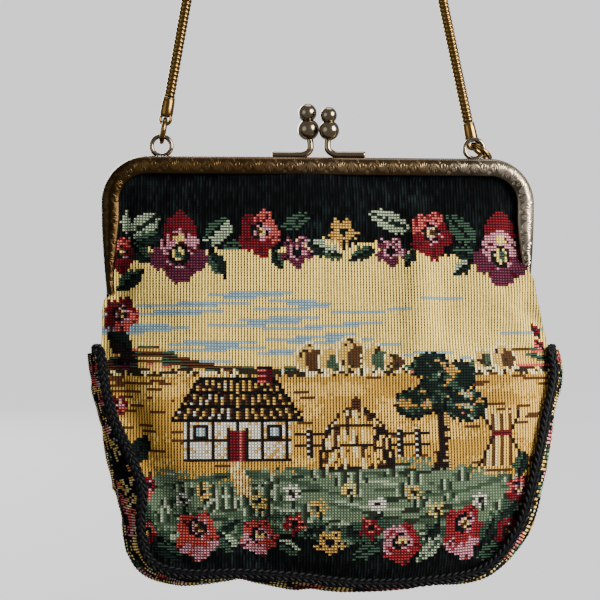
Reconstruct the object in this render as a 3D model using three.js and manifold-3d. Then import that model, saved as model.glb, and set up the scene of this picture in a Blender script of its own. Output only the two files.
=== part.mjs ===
// A frame handbag with a kiss-lock clasp, hung by its chain.
// Millimetres, +Z up, front towards -Y. Pieces are laid out from the middle of the frame's top edge,
// and the whole bag is then moved so that the origin is where the chain hangs on its hook.
import * as THREE from 'three';
import { mergeVertices } from 'three/addons/utils/BufferGeometryUtils.js';
import Module from 'manifold-3d';

const wasm = await Module();
wasm.setup();

// Driving dimensions
const gap = 0.3;
const frameSize = {
  halfWidth: 95, corner: 20, legEnd: -60, legLean: 2.5, taperStart: -24, band: 8, legBand: 3.6, depth: 7,
};
const frameSteps = { leg: 5, corner: 6, halfTop: 2 };
const hinge = {
  height: -64.5, inset: 1, radius: 2.3, thickness: 1.1, spread: 0.2, hole: 1.2, neckTop: -54, neckIn: 0.4,
};
const earBlockSize = { depth: 1.6, height: 5 };
const hingePin = { radius: 0.9, headRadius: 1.7, headThickness: 0.7, reach: 1.75, sides: 8 };
const cloth = { wall: 1.6, tuckAcross: 0.45, tuckDeep: 0.58, lipClear: 0.5, seamFlat: 2.5, seamGap: 0.4 };
const puff = { lift: 9, reach: 24 };
const panelSteps = { across: 20, down: 18 };
const gussetSteps = { along: 64, across: 6 };
const edgeSteps = { seam: 120, around: 360, side: 40, braid: 60 };
const edgePull = 3;
const ringSides = { round: 16, wire: 6 };
const braid = { radius: 1.9, outward: 0.6, sides: 6, steps: 66, wrapRise: 3 };
const braidWrapRows = [{ outward: 5.5, aside: 0.4 }, { outward: 5.5, aside: 2 }, { outward: 4.4, aside: 4.6 }];
const eye = { x: 69.2, y: 1.7, z: 4.8, radius: 4.3, wire: 1 };
const jumpRing = { radius: 4.8, wire: 1.1, rightTilt: 38, rightX: 72.9, rightY: 4.2, rightZ: 4.05 };
const cap = {
  hole: 1.7, tab: 2.7, thickness: 2, shoulder: 2.2, radius: 2.5, length: 9.5, socketStart: 2.8, sides: 12,
};
const chain = { radius: 2.35, sides: 8, runSteps: 20, bendSteps: 10 };
const hook = { x: -5.5, bend: 12, height: 297.5 };

// The frame's channel across its band: from the outer rim round the face to the inner lip and back inside
const frameSection = [
  { across: 0.0, deep: 0.03 },
  { across: 0.0, deep: 0.45 },
  { across: 0.12, deep: 0.8 },
  { across: 0.42, deep: 1.0 },
  { across: 0.8, deep: 0.94 },
  { across: 1.0, deep: 0.78 },
  { across: 1.0, deep: 0.66 },
  { across: 0.8, deep: 0.79 },
  { across: 0.44, deep: 0.85 },
  { across: 0.24, deep: 0.68 },
  { across: 0.13, deep: 0.4 },
  { across: 0.13, deep: 0.03 },
];

// The seam of panel and gusset from the left top round the bottom to the right top:
// its place, how far it stands from the middle plane, and how far the gusset swells beyond it
const seamRows = [
  { x: -95, z: -84.5, deep: 6, swell: 6 },
  { x: -92.6, z: -98.6, deep: 9.5, swell: 7.5 },
  { x: -89, z: -112, deep: 13, swell: 8 },
  { x: -82.5, z: -126, deep: 16, swell: 12 },
  { x: -76.8, z: -142, deep: 18.3, swell: 13.5 },
  { x: -77.4, z: -157, deep: 19, swell: 9 },
  { x: -73, z: -172, deep: 20, swell: 9.5 },
  { x: -60, z: -176.6, deep: 20.8, swell: 9.5 },
  { x: -36, z: -177, deep: 21, swell: 7 },
  { x: -12, z: -179, deep: 21, swell: 9.8 },
  { x: 14, z: -182.1, deep: 21, swell: 8 },
  { x: 48, z: -181.2, deep: 21, swell: 6.6 },
  { x: 70, z: -176, deep: 20.3, swell: 9.5 },
  { x: 83.5, z: -160, deep: 19, swell: 11 },
  { x: 91.3, z: -136, deep: 17.6, swell: 10.5 },
  { x: 97.4, z: -112, deep: 13.2, swell: 8.5 },
  { x: 102.2, z: -94, deep: 8.3, swell: 6.5 },
  { x: 101.2, z: -85, deep: 6, swell: 6 },
];
const seamCornerRow = { left: 6, right: 12 };

// The free edge of the panels between the frame's legs and the gusset's top, downwards
const flareRows = {
  left: [
    { x: -91.2, z: -63.5, deep: 4.2 },
    { x: -92.3, z: -70, deep: 4.2 },
    { x: -93.4, z: -77, deep: 4.4 },
  ],
  right: [
    { x: 90.8, z: -63.5, deep: 4.2 },
    { x: 95.4, z: -69, deep: 4.2 },
    { x: 98.8, z: -76.5, deep: 4.4 },
  ],
};

// Soft folds of a panel: a ridge (lift above 0) or a hollow along a line
const foldRows = [
  { fromX: -88, fromZ: -96, toX: -70, toZ: -150, width: 9, lift: -3 },
  { fromX: -74, fromZ: -90, toX: -57, toZ: -150, width: 10, lift: 1.6 },
  { fromX: -34, fromZ: -178, toX: -30, toZ: -152, width: 8, lift: -2 },
  { fromX: 41, fromZ: -22, toX: 44, toZ: -76, width: 7, lift: 1.2 },
  { fromX: 96, fromZ: -78, toX: 70, toZ: -122, width: 9, lift: 1.4 },
];
const foldFade = 7;

// Each clasp knob: a bent rod from its foot up to two balls. y is counted away from the middle plane
const knobRows = {
  front: {
    side: -1,
    rod: [
      { x: 19.8, y: 1.7, z: 1.3 },
      { x: 11, y: 1.7, z: 1.3 },
      { x: 6.2, y: 1.7, z: 1.5 },
      { x: 3.5, y: 1.75, z: 3.6 },
      { x: 3.2, y: 1.9, z: 6.5 },
      { x: 3.8, y: 2.1, z: 10.5 },
    ],
    balls: [{ x: 3.9, z: 11, radius: 4.5 }, { x: 3.7, z: 18.5, radius: 3.65 }],
  },
  back: {
    side: 1,
    rod: [
      { x: -20.9, y: 1.7, z: 1.3 },
      { x: -12, y: 1.7, z: 1.3 },
      { x: -7, y: 1.7, z: 1.5 },
      { x: -4.3, y: 1.75, z: 3.6 },
      { x: -4, y: 1.9, z: 6.5 },
      { x: -4.7, y: 2.1, z: 10.5 },
    ],
    balls: [{ x: -4.8, z: 12.1, radius: 4.8 }, { x: -5.2, z: 20, radius: 4.05 }],
  },
};
const knobRod = 1.5;
const knobBallY = 2.1;
const knobSteps = { rodSides: 8, rodSteps: 9, ballSides: 12, ballRows: 7 };

// Finishes
const finishes = {
  frameMetal: new THREE.MeshStandardMaterial({ color: 0x8a7658, roughness: 0.35, metalness: 1 }),
  chainMetal: new THREE.MeshStandardMaterial({ color: 0x9a7a3c, roughness: 0.35, metalness: 1 }),
  tapestry: new THREE.MeshStandardMaterial({ color: 0xa88d63, roughness: 0.9, metalness: 0 }),
  gussetCloth: new THREE.MeshStandardMaterial({ color: 0x51413a, roughness: 0.9, metalness: 0 }),
  blackBraid: new THREE.MeshStandardMaterial({ color: 0x16171b, roughness: 0.8, metalness: 0 }),
};

// Closed geometry from points and triangles, turned so that its faces point outwards
function closedGeometry(points, triangles) {
  let volume = 0;
  for (const [a, b, c] of triangles) {
    volume += points[a].dot(new THREE.Vector3().crossVectors(points[b], points[c]));
  }
  const index = [];
  for (const [a, b, c] of triangles) {
    index.push(...(volume > 0 ? [a, b, c] : [a, c, b]));
  }
  const geometry = new THREE.BufferGeometry().setFromPoints(points);
  geometry.setIndex(index);
  return geometry;
}

// Triangles of the strip between two rows of points, by their numbers
function stripTriangles(lower, upper) {
  const triangles = [];
  for (let i = 0; i + 1 < lower.length; i++) {
    triangles.push([lower[i], lower[i + 1], upper[i + 1]], [lower[i], upper[i + 1], upper[i]]);
  }
  return triangles;
}

// A section carried along rings of points, closed by the section's own outline at both ends
function sweep(rings, outline) {
  const count = outline.length;
  const ringNumbers = rings.map((_, r) => [...Array(count + 1).keys()].map((i) => r * count + (i % count)));
  const triangles = [];
  for (let r = 0; r + 1 < rings.length; r++) {
    triangles.push(...stripTriangles(ringNumbers[r], ringNumbers[r + 1]));
  }
  const clockwise = THREE.ShapeUtils.isClockWise(outline);
  const lastRing = (rings.length - 1) * count;
  for (const [a, b, c] of THREE.ShapeUtils.triangulateShape(outline, [])) {
    const [p, q] = clockwise ? [c, b] : [b, c];
    triangles.push([a, q, p], [lastRing + a, lastRing + p, lastRing + q]);
  }
  return closedGeometry(rings.flat(), triangles);
}

// A wall between an outer and an inner grid of points, closed round its rim
function wallBetween(outer, inner) {
  const rows = outer.length;
  const columns = outer[0].length;
  const size = rows * columns;
  const number = (r, c, layer) => layer * size + r * columns + c;
  const rowNumbers = (r, layer) => [...Array(columns).keys()].map((c) => number(r, c, layer));
  const columnNumbers = (c, layer) => [...Array(rows).keys()].map((r) => number(r, c, layer));
  const triangles = [];
  for (let r = 0; r + 1 < rows; r++) {
    triangles.push(...stripTriangles(rowNumbers(r, 0), rowNumbers(r + 1, 0)));
    triangles.push(...stripTriangles(rowNumbers(r + 1, 1), rowNumbers(r, 1)));
  }
  triangles.push(...stripTriangles(rowNumbers(0, 1), rowNumbers(0, 0)));
  triangles.push(...stripTriangles(rowNumbers(rows - 1, 0), rowNumbers(rows - 1, 1)));
  triangles.push(...stripTriangles(columnNumbers(0, 0), columnNumbers(0, 1)));
  triangles.push(...stripTriangles(columnNumbers(columns - 1, 1), columnNumbers(columns - 1, 0)));
  return closedGeometry([...outer.flat(), ...inner.flat()], triangles);
}

// A round rod along a curve
function rod(curve, radius, sides, steps) {
  const circle = new THREE.Shape();
  for (let i = 0; i < sides; i++) {
    const angle = (2 * Math.PI * i) / sides;
    const point = [radius * Math.cos(angle), radius * Math.sin(angle)];
    if (i === 0) {
      circle.moveTo(...point);
    } else {
      circle.lineTo(...point);
    }
  }
  return new THREE.ExtrudeGeometry(circle, { steps, bevelEnabled: false, extrudePath: curve });
}

// Joins and cuts
function solidOf(geometry) {
  const bare = geometry.clone();
  bare.deleteAttribute('normal');
  bare.deleteAttribute('uv');
  const merged = mergeVertices(bare, 1e-4);
  return new wasm.Manifold(new wasm.Mesh({
    numProp: 3,
    vertProperties: new Float32Array(merged.attributes.position.array),
    triVerts: new Uint32Array(merged.index.array),
  }));
}

function geometryOf(solid) {
  const mesh = solid.getMesh();
  const geometry = new THREE.BufferGeometry();
  geometry.setAttribute('position', new THREE.BufferAttribute(mesh.vertProperties, mesh.numProp));
  geometry.setIndex([...mesh.triVerts]);
  return geometry;
}

function joined(geometries) {
  return geometryOf(geometries.map(solidOf).reduce((whole, piece) => whole.add(piece)));
}

// Stations of the frame from the left leg's end over the top to the right leg's end:
// a point of the outer edge, the direction inwards and the width of the band there
function frameStations() {
  const { halfWidth, corner, legEnd, legLean, taperStart, band, legBand } = frameSize;
  const left = [];
  for (let i = 0; i < frameSteps.leg; i++) {
    const z = THREE.MathUtils.lerp(legEnd, -corner, i / frameSteps.leg);
    const down = (-corner - z) / (-corner - legEnd);
    const taper = THREE.MathUtils.smoothstep(-z, -taperStart, -legEnd);
    const width = THREE.MathUtils.lerp(band, legBand, taper);
    left.push({ x: -halfWidth + legLean * down * down, z, inX: 1, inZ: 0, band: width });
  }
  for (let i = 0; i < frameSteps.corner; i++) {
    const angle = Math.PI - (Math.PI / 2) * (i / frameSteps.corner);
    const inX = -Math.cos(angle);
    const inZ = -Math.sin(angle);
    left.push({ x: corner - halfWidth - corner * inX, z: -corner - corner * inZ, inX, inZ, band });
  }
  for (let i = 0; i < frameSteps.halfTop; i++) {
    left.push({ x: (corner - halfWidth) * (1 - i / frameSteps.halfTop), z: 0, inX: 0, inZ: -1, band });
  }
  const right = left.map((station) => ({ ...station, x: -station.x, inX: -station.inX })).reverse();
  return [...left, { x: 0, z: 0, inX: 0, inZ: -1, band }, ...right];
}

// A point of the frame, a share of the band in from its outer edge
function framePoint(station, across) {
  const inset = across * station.band;
  return { x: station.x + station.inX * inset, z: station.z + station.inZ * inset };
}

const stations = frameStations();
const legTipX = frameSize.halfWidth - frameSize.legLean;
const hingeX = legTipX - hinge.inset;

function frameChannel(side) {
  const rings = stations.map((station) => frameSection.map(({ across, deep }) => {
    const { x, z } = framePoint(station, across);
    return new THREE.Vector3(x, side * deep * frameSize.depth, z);
  }));
  const outline = frameSection.map(({ across, deep }) => new THREE.Vector2(across, deep));
  return sweep(rings, outline);
}

// A hinge ear: a drilled disc on a short neck, a plate across X. The front ears lie outside the back ones
function hingeEar(side, hand) {
  const { height, radius, hole, neckTop, neckIn, thickness, spread } = hinge;
  const neckTurn = Math.acos(-neckIn / radius);
  const plate = new THREE.Shape();
  plate.moveTo(-neckIn, neckTop);
  plate.lineTo(-radius + gap, neckTop);
  plate.lineTo(-radius, height);
  plate.absarc(0, height, radius, Math.PI, 2 * Math.PI, false);
  plate.absarc(0, height, radius, 0, neckTurn, false);
  const bore = new THREE.Path();
  bore.absarc(0, height, hole, 0, 2 * Math.PI, true);
  plate.holes.push(bore);
  const ear = new THREE.ExtrudeGeometry(plate, { depth: thickness, bevelEnabled: false, curveSegments: 6 });
  ear.applyMatrix4(new THREE.Matrix4().makeBasis(
    new THREE.Vector3(0, 1, 0), new THREE.Vector3(0, 0, 1), new THREE.Vector3(1, 0, 0),
  ));
  if (side > 0) {
    ear.rotateZ(Math.PI);
    ear.translate(thickness, 0, 0);
  }
  const outside = hand * hingeX > 0 ? spread : -spread - thickness;
  const inside = hand * hingeX > 0 ? -spread - thickness : spread;
  ear.translate(hand * hingeX + (side < 0 ? outside : inside), 0, 0);
  return ear;
}

// The back ear stands further in than its leg's wall, so a small block carries it
function earBlock(hand) {
  const wallX = legTipX - gap;
  const earX = hingeX - hinge.spread - hinge.thickness;
  const { depth, height } = earBlockSize;
  const block = new THREE.BoxGeometry(wallX - earX, depth, height);
  block.translate((hand * (wallX + earX)) / 2, hinge.neckIn + depth / 2, hinge.neckTop - height / 2);
  return block;
}

function claspKnob(knob) {
  const { side, balls } = knob;
  const curve = new THREE.CatmullRomCurve3(knob.rod.map(({ x, y, z }) => new THREE.Vector3(x, side * y, z)));
  const pieces = [rod(curve, knobRod, knobSteps.rodSides, knobSteps.rodSteps)];
  for (const ball of balls) {
    const sphere = new THREE.SphereGeometry(ball.radius, knobSteps.ballSides, knobSteps.ballRows);
    sphere.rotateX(Math.PI / 2);
    sphere.translate(ball.x, side * knobBallY, ball.z);
    pieces.push(sphere);
  }
  return pieces;
}

function chainEye(hand) {
  const ring = new THREE.TorusGeometry(eye.radius, eye.wire, ringSides.wire, ringSides.round);
  ring.rotateX(Math.PI / 2);
  ring.translate(hand * eye.x, eye.y, eye.z);
  return ring;
}

function frontFrame() {
  const ears = [hingeEar(-1, -1), hingeEar(-1, 1)];
  return joined([frameChannel(-1), ...ears, ...claspKnob(knobRows.front)]);
}

function backFrame() {
  const ears = [hingeEar(1, -1), hingeEar(1, 1), earBlock(-1), earBlock(1)];
  return joined([frameChannel(1), ...ears, ...claspKnob(knobRows.back), chainEye(-1), chainEye(1)]);
}

// A plain pin with two heads, along X
function pin(hand) {
  const { radius, headRadius, headThickness, reach } = hingePin;
  const end = reach + headThickness;
  const profile = [[0, -end], [headRadius, -end], [headRadius, -reach], [radius, -reach],
    [radius, reach], [headRadius, reach], [headRadius, end], [0, end]];
  const lathe = new THREE.LatheGeometry(profile.map(([r, l]) => new THREE.Vector2(r, l)), hingePin.sides);
  lathe.rotateZ(Math.PI / 2);
  lathe.translate(hand * hingeX, 0, hinge.height);
  return solidGeometry(lathe);
}

// A revolved form with the doubled points of its seam and poles merged
function solidGeometry(geometry) {
  return geometryOf(solidOf(geometry));
}

// Seam: a smooth curve through its rows, with the gusset's swell carried along
const seamCurve = new THREE.CatmullRomCurve3(seamRows.map(({ x, z, deep }) => new THREE.Vector3(x, deep, z)));
const swellCurve = new THREE.CatmullRomCurve3(seamRows.map(({ swell }, i) => new THREE.Vector3(swell, i, 0)));

function seamAt(t) {
  const point = seamCurve.getPoint(t);
  const tangent = seamCurve.getTangent(t);
  const length = Math.hypot(tangent.x, tangent.z);
  return {
    x: point.x, z: point.z, deep: point.y, swell: swellCurve.getPoint(t).x,
    outX: tangent.z / length, outZ: -tangent.x / length,
  };
}

function seamStretch(from, to, steps) {
  const rows = seamRows.length - 1;
  return [...Array(steps + 1).keys()].map((i) => seamAt(THREE.MathUtils.lerp(from, to, i / steps) / rows));
}

// The edge from which a panel swells: the frame's lip, the free edges and the seam
const lipDeep = cloth.tuckDeep * frameSize.depth;
const lastRow = seamRows.length - 1;
const swellEdge = [
  ...stations.map((station) => ({ ...framePoint(station, 1 + cloth.lipClear / station.band), deep: lipDeep })),
  ...flareRows.right,
  ...seamStretch(lastRow, 0, edgeSteps.seam),
  ...[...flareRows.left].reverse(),
];
const edgeSamples = resample([...swellEdge, swellEdge[0]], edgeSteps.around);

// Points at equal distances along a line of points
function resample(points, count) {
  const lengths = [0];
  for (let i = 1; i < points.length; i++) {
    const step = Math.hypot(points[i].x - points[i - 1].x, points[i].z - points[i - 1].z);
    lengths.push(lengths[i - 1] + step);
  }
  const result = [];
  let segment = 0;
  for (let i = 0; i <= count; i++) {
    const target = (lengths[lengths.length - 1] * i) / count;
    while (segment < points.length - 2 && lengths[segment + 1] < target) {
      segment++;
    }
    const [start, end] = [points[segment], points[segment + 1]];
    const share = (target - lengths[segment]) / (lengths[segment + 1] - lengths[segment]);
    const blend = (key) => THREE.MathUtils.lerp(start[key], end[key], share);
    result.push({ x: blend('x'), z: blend('z'), deep: blend('deep') });
  }
  return result;
}

// How far a fold lifts the cloth at a point
function foldLift(x, z) {
  let lift = 0;
  for (const fold of foldRows) {
    const alongX = fold.toX - fold.fromX;
    const alongZ = fold.toZ - fold.fromZ;
    const share = ((x - fold.fromX) * alongX + (z - fold.fromZ) * alongZ) / (alongX ** 2 + alongZ ** 2);
    const nearest = THREE.MathUtils.clamp(share, 0, 1);
    const away = Math.hypot(x - fold.fromX - nearest * alongX, z - fold.fromZ - nearest * alongZ);
    lift += fold.lift * Math.exp(-((away / fold.width) ** 2));
  }
  return lift;
}

// How far the cloth stands from the middle plane: the edges' own depth spread inwards, and the swelling
function clothDepth(x, z) {
  let weight = 0;
  let total = 0;
  let nearest = Infinity;
  for (const sample of edgeSamples) {
    const away = Math.max(Math.hypot(x - sample.x, z - sample.z), 0.01);
    const share = away ** -edgePull;
    weight += share;
    total += share * sample.deep;
    nearest = Math.min(nearest, away);
  }
  const inside = insideEdge(x, z) ? Math.max(0, nearest - cloth.seamFlat) : 0;
  const swelling = puff.lift * (1 - Math.exp(-inside / puff.reach));
  return total / weight + swelling + foldLift(x, z) * (1 - Math.exp(-inside / foldFade));
}

function insideEdge(x, z) {
  let inside = false;
  for (let i = 0; i + 1 < edgeSamples.length; i++) {
    const [a, b] = [edgeSamples[i], edgeSamples[i + 1]];
    if ((a.z > z) !== (b.z > z) && x < a.x + ((z - a.z) * (b.x - a.x)) / (b.z - a.z)) {
      inside = !inside;
    }
  }
  return inside;
}

// The panel's outline as four sides that meet in the middle of its round corners
function panelSides() {
  const tucked = stations.map((station) => ({ ...framePoint(station, cloth.tuckAcross), deep: lipDeep }));
  const leftCorner = frameSteps.leg + frameSteps.corner / 2;
  const rightCorner = tucked.length - 1 - leftCorner;
  const { left, right } = seamCornerRow;
  const leftSide = [
    ...tucked.slice(0, leftCorner + 1).reverse(), ...flareRows.left, ...seamStretch(0, left, edgeSteps.side),
  ];
  const rightSide = [
    ...tucked.slice(rightCorner), ...flareRows.right, ...seamStretch(lastRow, right, edgeSteps.side),
  ];
  return {
    top: resample(tucked.slice(leftCorner, rightCorner + 1), panelSteps.across),
    bottom: resample(seamStretch(left, right, edgeSteps.side), panelSteps.across),
    left: resample(leftSide, panelSteps.down),
    right: resample(rightSide, panelSteps.down),
  };
}

// A grid that fills the four sides evenly
function panelGrid() {
  const { top, bottom, left, right } = panelSides();
  const grid = [];
  for (let r = 0; r <= panelSteps.down; r++) {
    const down = r / panelSteps.down;
    const row = [];
    for (let c = 0; c <= panelSteps.across; c++) {
      const over = c / panelSteps.across;
      const blend = (key) => {
        const upright = THREE.MathUtils.lerp(top[c][key], bottom[c][key], down);
        const level = THREE.MathUtils.lerp(left[r][key], right[r][key], over);
        const upper = THREE.MathUtils.lerp(top[0][key], top[panelSteps.across][key], over);
        const lower = THREE.MathUtils.lerp(bottom[0][key], bottom[panelSteps.across][key], over);
        return upright + level - THREE.MathUtils.lerp(upper, lower, down);
      };
      row.push({ x: blend('x'), z: blend('z') });
    }
    grid.push(row);
  }
  return grid;
}

function panel(side) {
  const grid = panelGrid();
  const layer = (inset) => grid.map((row) => row.map(({ x, z }) => (
    new THREE.Vector3(x, side * (clothDepth(x, z) - inset), z))));
  return wallBetween(layer(0), layer(cloth.wall));
}

// The gusset bows outwards between the two seams, behind the panels' edges
function gusset() {
  const outer = [];
  const inner = [];
  for (const seam of seamStretch(0, lastRow, gussetSteps.along)) {
    const half = seam.deep - cloth.wall - cloth.seamGap;
    const outerRow = [];
    const innerRow = [];
    for (let i = 0; i <= gussetSteps.across; i++) {
      const over = (2 * i) / gussetSteps.across - 1;
      const bow = seam.swell * (1 - over * over);
      const slope = Math.hypot(half, 2 * seam.swell * over);
      const inward = (cloth.wall * half) / slope;
      const sideways = (cloth.wall * 2 * seam.swell * over) / slope;
      outerRow.push(new THREE.Vector3(seam.x + seam.outX * bow, half * over, seam.z + seam.outZ * bow));
      innerRow.push(new THREE.Vector3(
        seam.x + seam.outX * (bow - inward), half * over - sideways, seam.z + seam.outZ * (bow - inward),
      ));
    }
    outer.push(outerRow);
    inner.push(innerRow);
  }
  return wallBetween(outer, inner);
}

// The braid lies on the panel's edge all along the seam, and turns back over the gusset's upper ends
function seamBraid(side) {
  const along = seamStretch(0, lastRow, edgeSteps.braid).map(({ x, z, deep, outX, outZ }) => new THREE.Vector3(
    x + outX * braid.outward, side * (deep + braid.radius + gap), z + outZ * braid.outward,
  ));
  const wrapped = (row, hand) => braidWrapRows.map(({ outward, aside }) => (
    new THREE.Vector3(row.x + hand * outward, side * aside, row.z + braid.wrapRise)));
  const points = [...wrapped(seamRows[0], -1), ...along, ...wrapped(seamRows[lastRow], 1).reverse()];
  return rod(new THREE.CatmullRomCurve3(points), braid.radius, braid.sides, braid.steps);
}

// Directions and places of the chain's two ends
const sideways = new THREE.Vector3(0, 1, 0);
const bendCentre = new THREE.Vector3(hook.x, eye.y, hook.height);

// Where a straight run from a point meets the bend over the hook, on the left (-1) or right (1) of it
function bendContact(point, hand) {
  const toPoint = new THREE.Vector2(point.x - bendCentre.x, point.z - bendCentre.z);
  const turn = Math.acos(hook.bend / toPoint.length());
  const angle = (toPoint.angle() + hand * turn) % (2 * Math.PI);
  return { angle, x: bendCentre.x + hook.bend * Math.cos(angle), z: bendCentre.z + hook.bend * Math.sin(angle) };
}

// The left ring hangs straight up from its eye, the right one has dropped aside
function ringPlaces() {
  const bottom = new THREE.Vector3(-eye.x, eye.y, eye.z + eye.radius - eye.wire - jumpRing.wire - gap);
  const contact = bendContact(bottom, -1);
  const leftUp = new THREE.Vector3(contact.x - bottom.x, 0, contact.z - bottom.z).normalize();
  const tilt = THREE.MathUtils.degToRad(jumpRing.rightTilt);
  return {
    left: { up: leftUp, centre: bottom.clone().addScaledVector(leftUp, jumpRing.radius) },
    right: {
      up: new THREE.Vector3(-Math.cos(tilt), 0, Math.sin(tilt)),
      centre: new THREE.Vector3(jumpRing.rightX, jumpRing.rightY, jumpRing.rightZ),
    },
  };
}

const rings = ringPlaces();

function linkRing({ up, centre }) {
  const ring = new THREE.TorusGeometry(jumpRing.radius, jumpRing.wire, ringSides.wire, ringSides.round);
  ring.applyMatrix4(new THREE.Matrix4().makeBasis(sideways, up, new THREE.Vector3().crossVectors(sideways, up)));
  ring.translate(centre.x, centre.y, centre.z);
  return ring;
}

// Each cap hangs on its ring by its hole and points along its run of chain
function capPlace({ up, centre }, hand) {
  const slack = cap.hole - jumpRing.wire - gap;
  const hole = centre.clone().addScaledVector(up, jumpRing.radius);
  const contact = bendContact(hole, hand);
  const along = new THREE.Vector3(contact.x - hole.x, bendCentre.y - hole.y, contact.z - hole.z).normalize();
  hole.addScaledVector(along, slack);
  return { hole, along, contact };
}

const capPlaces = { left: capPlace(rings.left, -1), right: capPlace(rings.right, 1) };

// A cap: a round socket end that runs out into a flat drilled tab
function chainCap({ hole, along }) {
  const tab = new THREE.Shape();
  tab.absarc(0, 0, cap.tab, Math.PI, 2 * Math.PI, false);
  tab.lineTo(cap.radius, cap.shoulder + cap.radius);
  tab.lineTo(-cap.radius, cap.shoulder + cap.radius);
  const bore = new THREE.Path();
  bore.absarc(0, 0, cap.hole, 0, 2 * Math.PI, true);
  tab.holes.push(bore);
  const flat = new THREE.ExtrudeGeometry(tab, { depth: cap.thickness, bevelEnabled: false, curveSegments: 6 });
  flat.translate(0, 0, -cap.thickness / 2);
  const socket = new THREE.CylinderGeometry(cap.radius, cap.radius, cap.length - cap.socketStart, cap.sides);
  socket.translate(0, (cap.length + cap.socketStart) / 2, 0);
  const whole = joined([flat, socket]);
  const across = new THREE.Vector3().crossVectors(along, sideways).normalize();
  const facing = new THREE.Vector3().crossVectors(across, along);
  whole.applyMatrix4(new THREE.Matrix4().makeBasis(across, along, facing));
  whole.translate(hole.x, hole.y, hole.z);
  return whole;
}

// The chain runs straight from each cap to the bend over the hook
function chainPath() {
  const run = ({ hole, along, contact }) => {
    const start = hole.clone().addScaledVector(along, cap.length + gap);
    const end = new THREE.Vector3(contact.x, bendCentre.y, contact.z);
    return [...Array(chain.runSteps).keys()].map((i) => start.clone().lerp(end, i / chain.runSteps));
  };
  const { left, right } = capPlaces;
  const bend = [...Array(chain.bendSteps + 1).keys()].map((i) => {
    const angle = THREE.MathUtils.lerp(left.contact.angle, right.contact.angle, i / chain.bendSteps);
    return new THREE.Vector3(
      bendCentre.x + hook.bend * Math.cos(angle), bendCentre.y, bendCentre.z + hook.bend * Math.sin(angle),
    );
  });
  return [...run(left), ...bend, ...run(right).reverse()];
}

function snakeChain() {
  const path = chainPath();
  const outline = [...Array(chain.sides).keys()].map((i) => {
    const angle = (2 * Math.PI * i) / chain.sides;
    return new THREE.Vector2(chain.radius * Math.cos(angle), chain.radius * Math.sin(angle));
  });
  const chainRings = path.map((point, i) => {
    const ahead = path[Math.min(i + 1, path.length - 1)];
    const behind = path[Math.max(i - 1, 0)];
    const along = new THREE.Vector3().subVectors(ahead, behind).normalize();
    const across = new THREE.Vector3().crossVectors(along, sideways).normalize();
    const facing = new THREE.Vector3().crossVectors(across, along);
    return outline.map(({ x, y }) => point.clone().addScaledVector(across, x).addScaledVector(facing, y));
  });
  return sweep(chainRings, outline);
}

// The whole bag
const bag = new THREE.Group();

function addPiece(name, geometry, finish) {
  const mesh = new THREE.Mesh(geometry, finishes[finish].clone());
  mesh.name = name;
  bag.add(mesh);
}

addPiece('frame_front', frontFrame(), 'frameMetal');
addPiece('frame_back', backFrame(), 'frameMetal');
addPiece('hinge_pin_left', pin(-1), 'frameMetal');
addPiece('hinge_pin_right', pin(1), 'frameMetal');
addPiece('front_panel', panel(-1), 'tapestry');
addPiece('back_panel', panel(1), 'tapestry');
addPiece('gusset', gusset(), 'gussetCloth');
addPiece('front_braid', seamBraid(-1), 'blackBraid');
addPiece('back_braid', seamBraid(1), 'blackBraid');
addPiece('jump_ring_left', linkRing(rings.left), 'chainMetal');
addPiece('jump_ring_right', linkRing(rings.right), 'chainMetal');
addPiece('chain_cap_left', chainCap(capPlaces.left), 'chainMetal');
addPiece('chain_cap_right', chainCap(capPlaces.right), 'chainMetal');
addPiece('chain', snakeChain(), 'chainMetal');

bag.position.set(-hook.x, -eye.y, -(hook.height + hook.bend - chain.radius));

export default bag;
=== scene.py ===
# Looks of a tapestry frame handbag that hangs by its chain
import math

import bpy
import numpy as np
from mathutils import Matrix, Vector


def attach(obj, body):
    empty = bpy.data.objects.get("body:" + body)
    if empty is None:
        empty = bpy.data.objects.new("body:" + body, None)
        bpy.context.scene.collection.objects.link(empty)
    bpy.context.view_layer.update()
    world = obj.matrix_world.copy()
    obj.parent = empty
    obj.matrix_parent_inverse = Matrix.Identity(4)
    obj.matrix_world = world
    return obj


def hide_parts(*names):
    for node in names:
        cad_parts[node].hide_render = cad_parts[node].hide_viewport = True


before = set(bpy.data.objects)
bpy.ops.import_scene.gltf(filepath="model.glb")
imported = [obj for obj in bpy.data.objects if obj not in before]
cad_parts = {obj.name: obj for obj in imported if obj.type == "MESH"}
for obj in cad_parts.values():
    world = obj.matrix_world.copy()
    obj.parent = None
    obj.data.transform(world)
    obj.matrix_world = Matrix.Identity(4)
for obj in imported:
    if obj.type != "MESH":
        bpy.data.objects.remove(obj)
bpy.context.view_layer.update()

# Sizes are in mm from the middle of the frame's top edge, as the bag was laid out.
# inMetres moves them to the hook, in metres
hookPlace = dict(x=-5.5, y=1.7, z=307.15)
xAxis, yAxis, zAxis = np.eye(3)


def inMetres(points):
    return (np.asarray(points, float) - (hookPlace["x"], hookPlace["y"], hookPlace["z"])) / 1000


def smoothstep(low, high, value):
    share = np.clip((value - low) / (high - low), 0, 1)
    return share * share * (3 - 2 * share)


def unit(vectors):
    length = np.linalg.norm(vectors, axis=-1, keepdims=True)
    return vectors / np.maximum(length, 1e-9)


def linear(colour):
    share = np.asarray(colour, float) / 255
    return np.where(share > 0.04045, ((share + 0.055) / 1.055) ** 2.4, share / 12.92)


def circle(count):
    return np.arange(count) * 2 * math.pi / count


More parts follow.
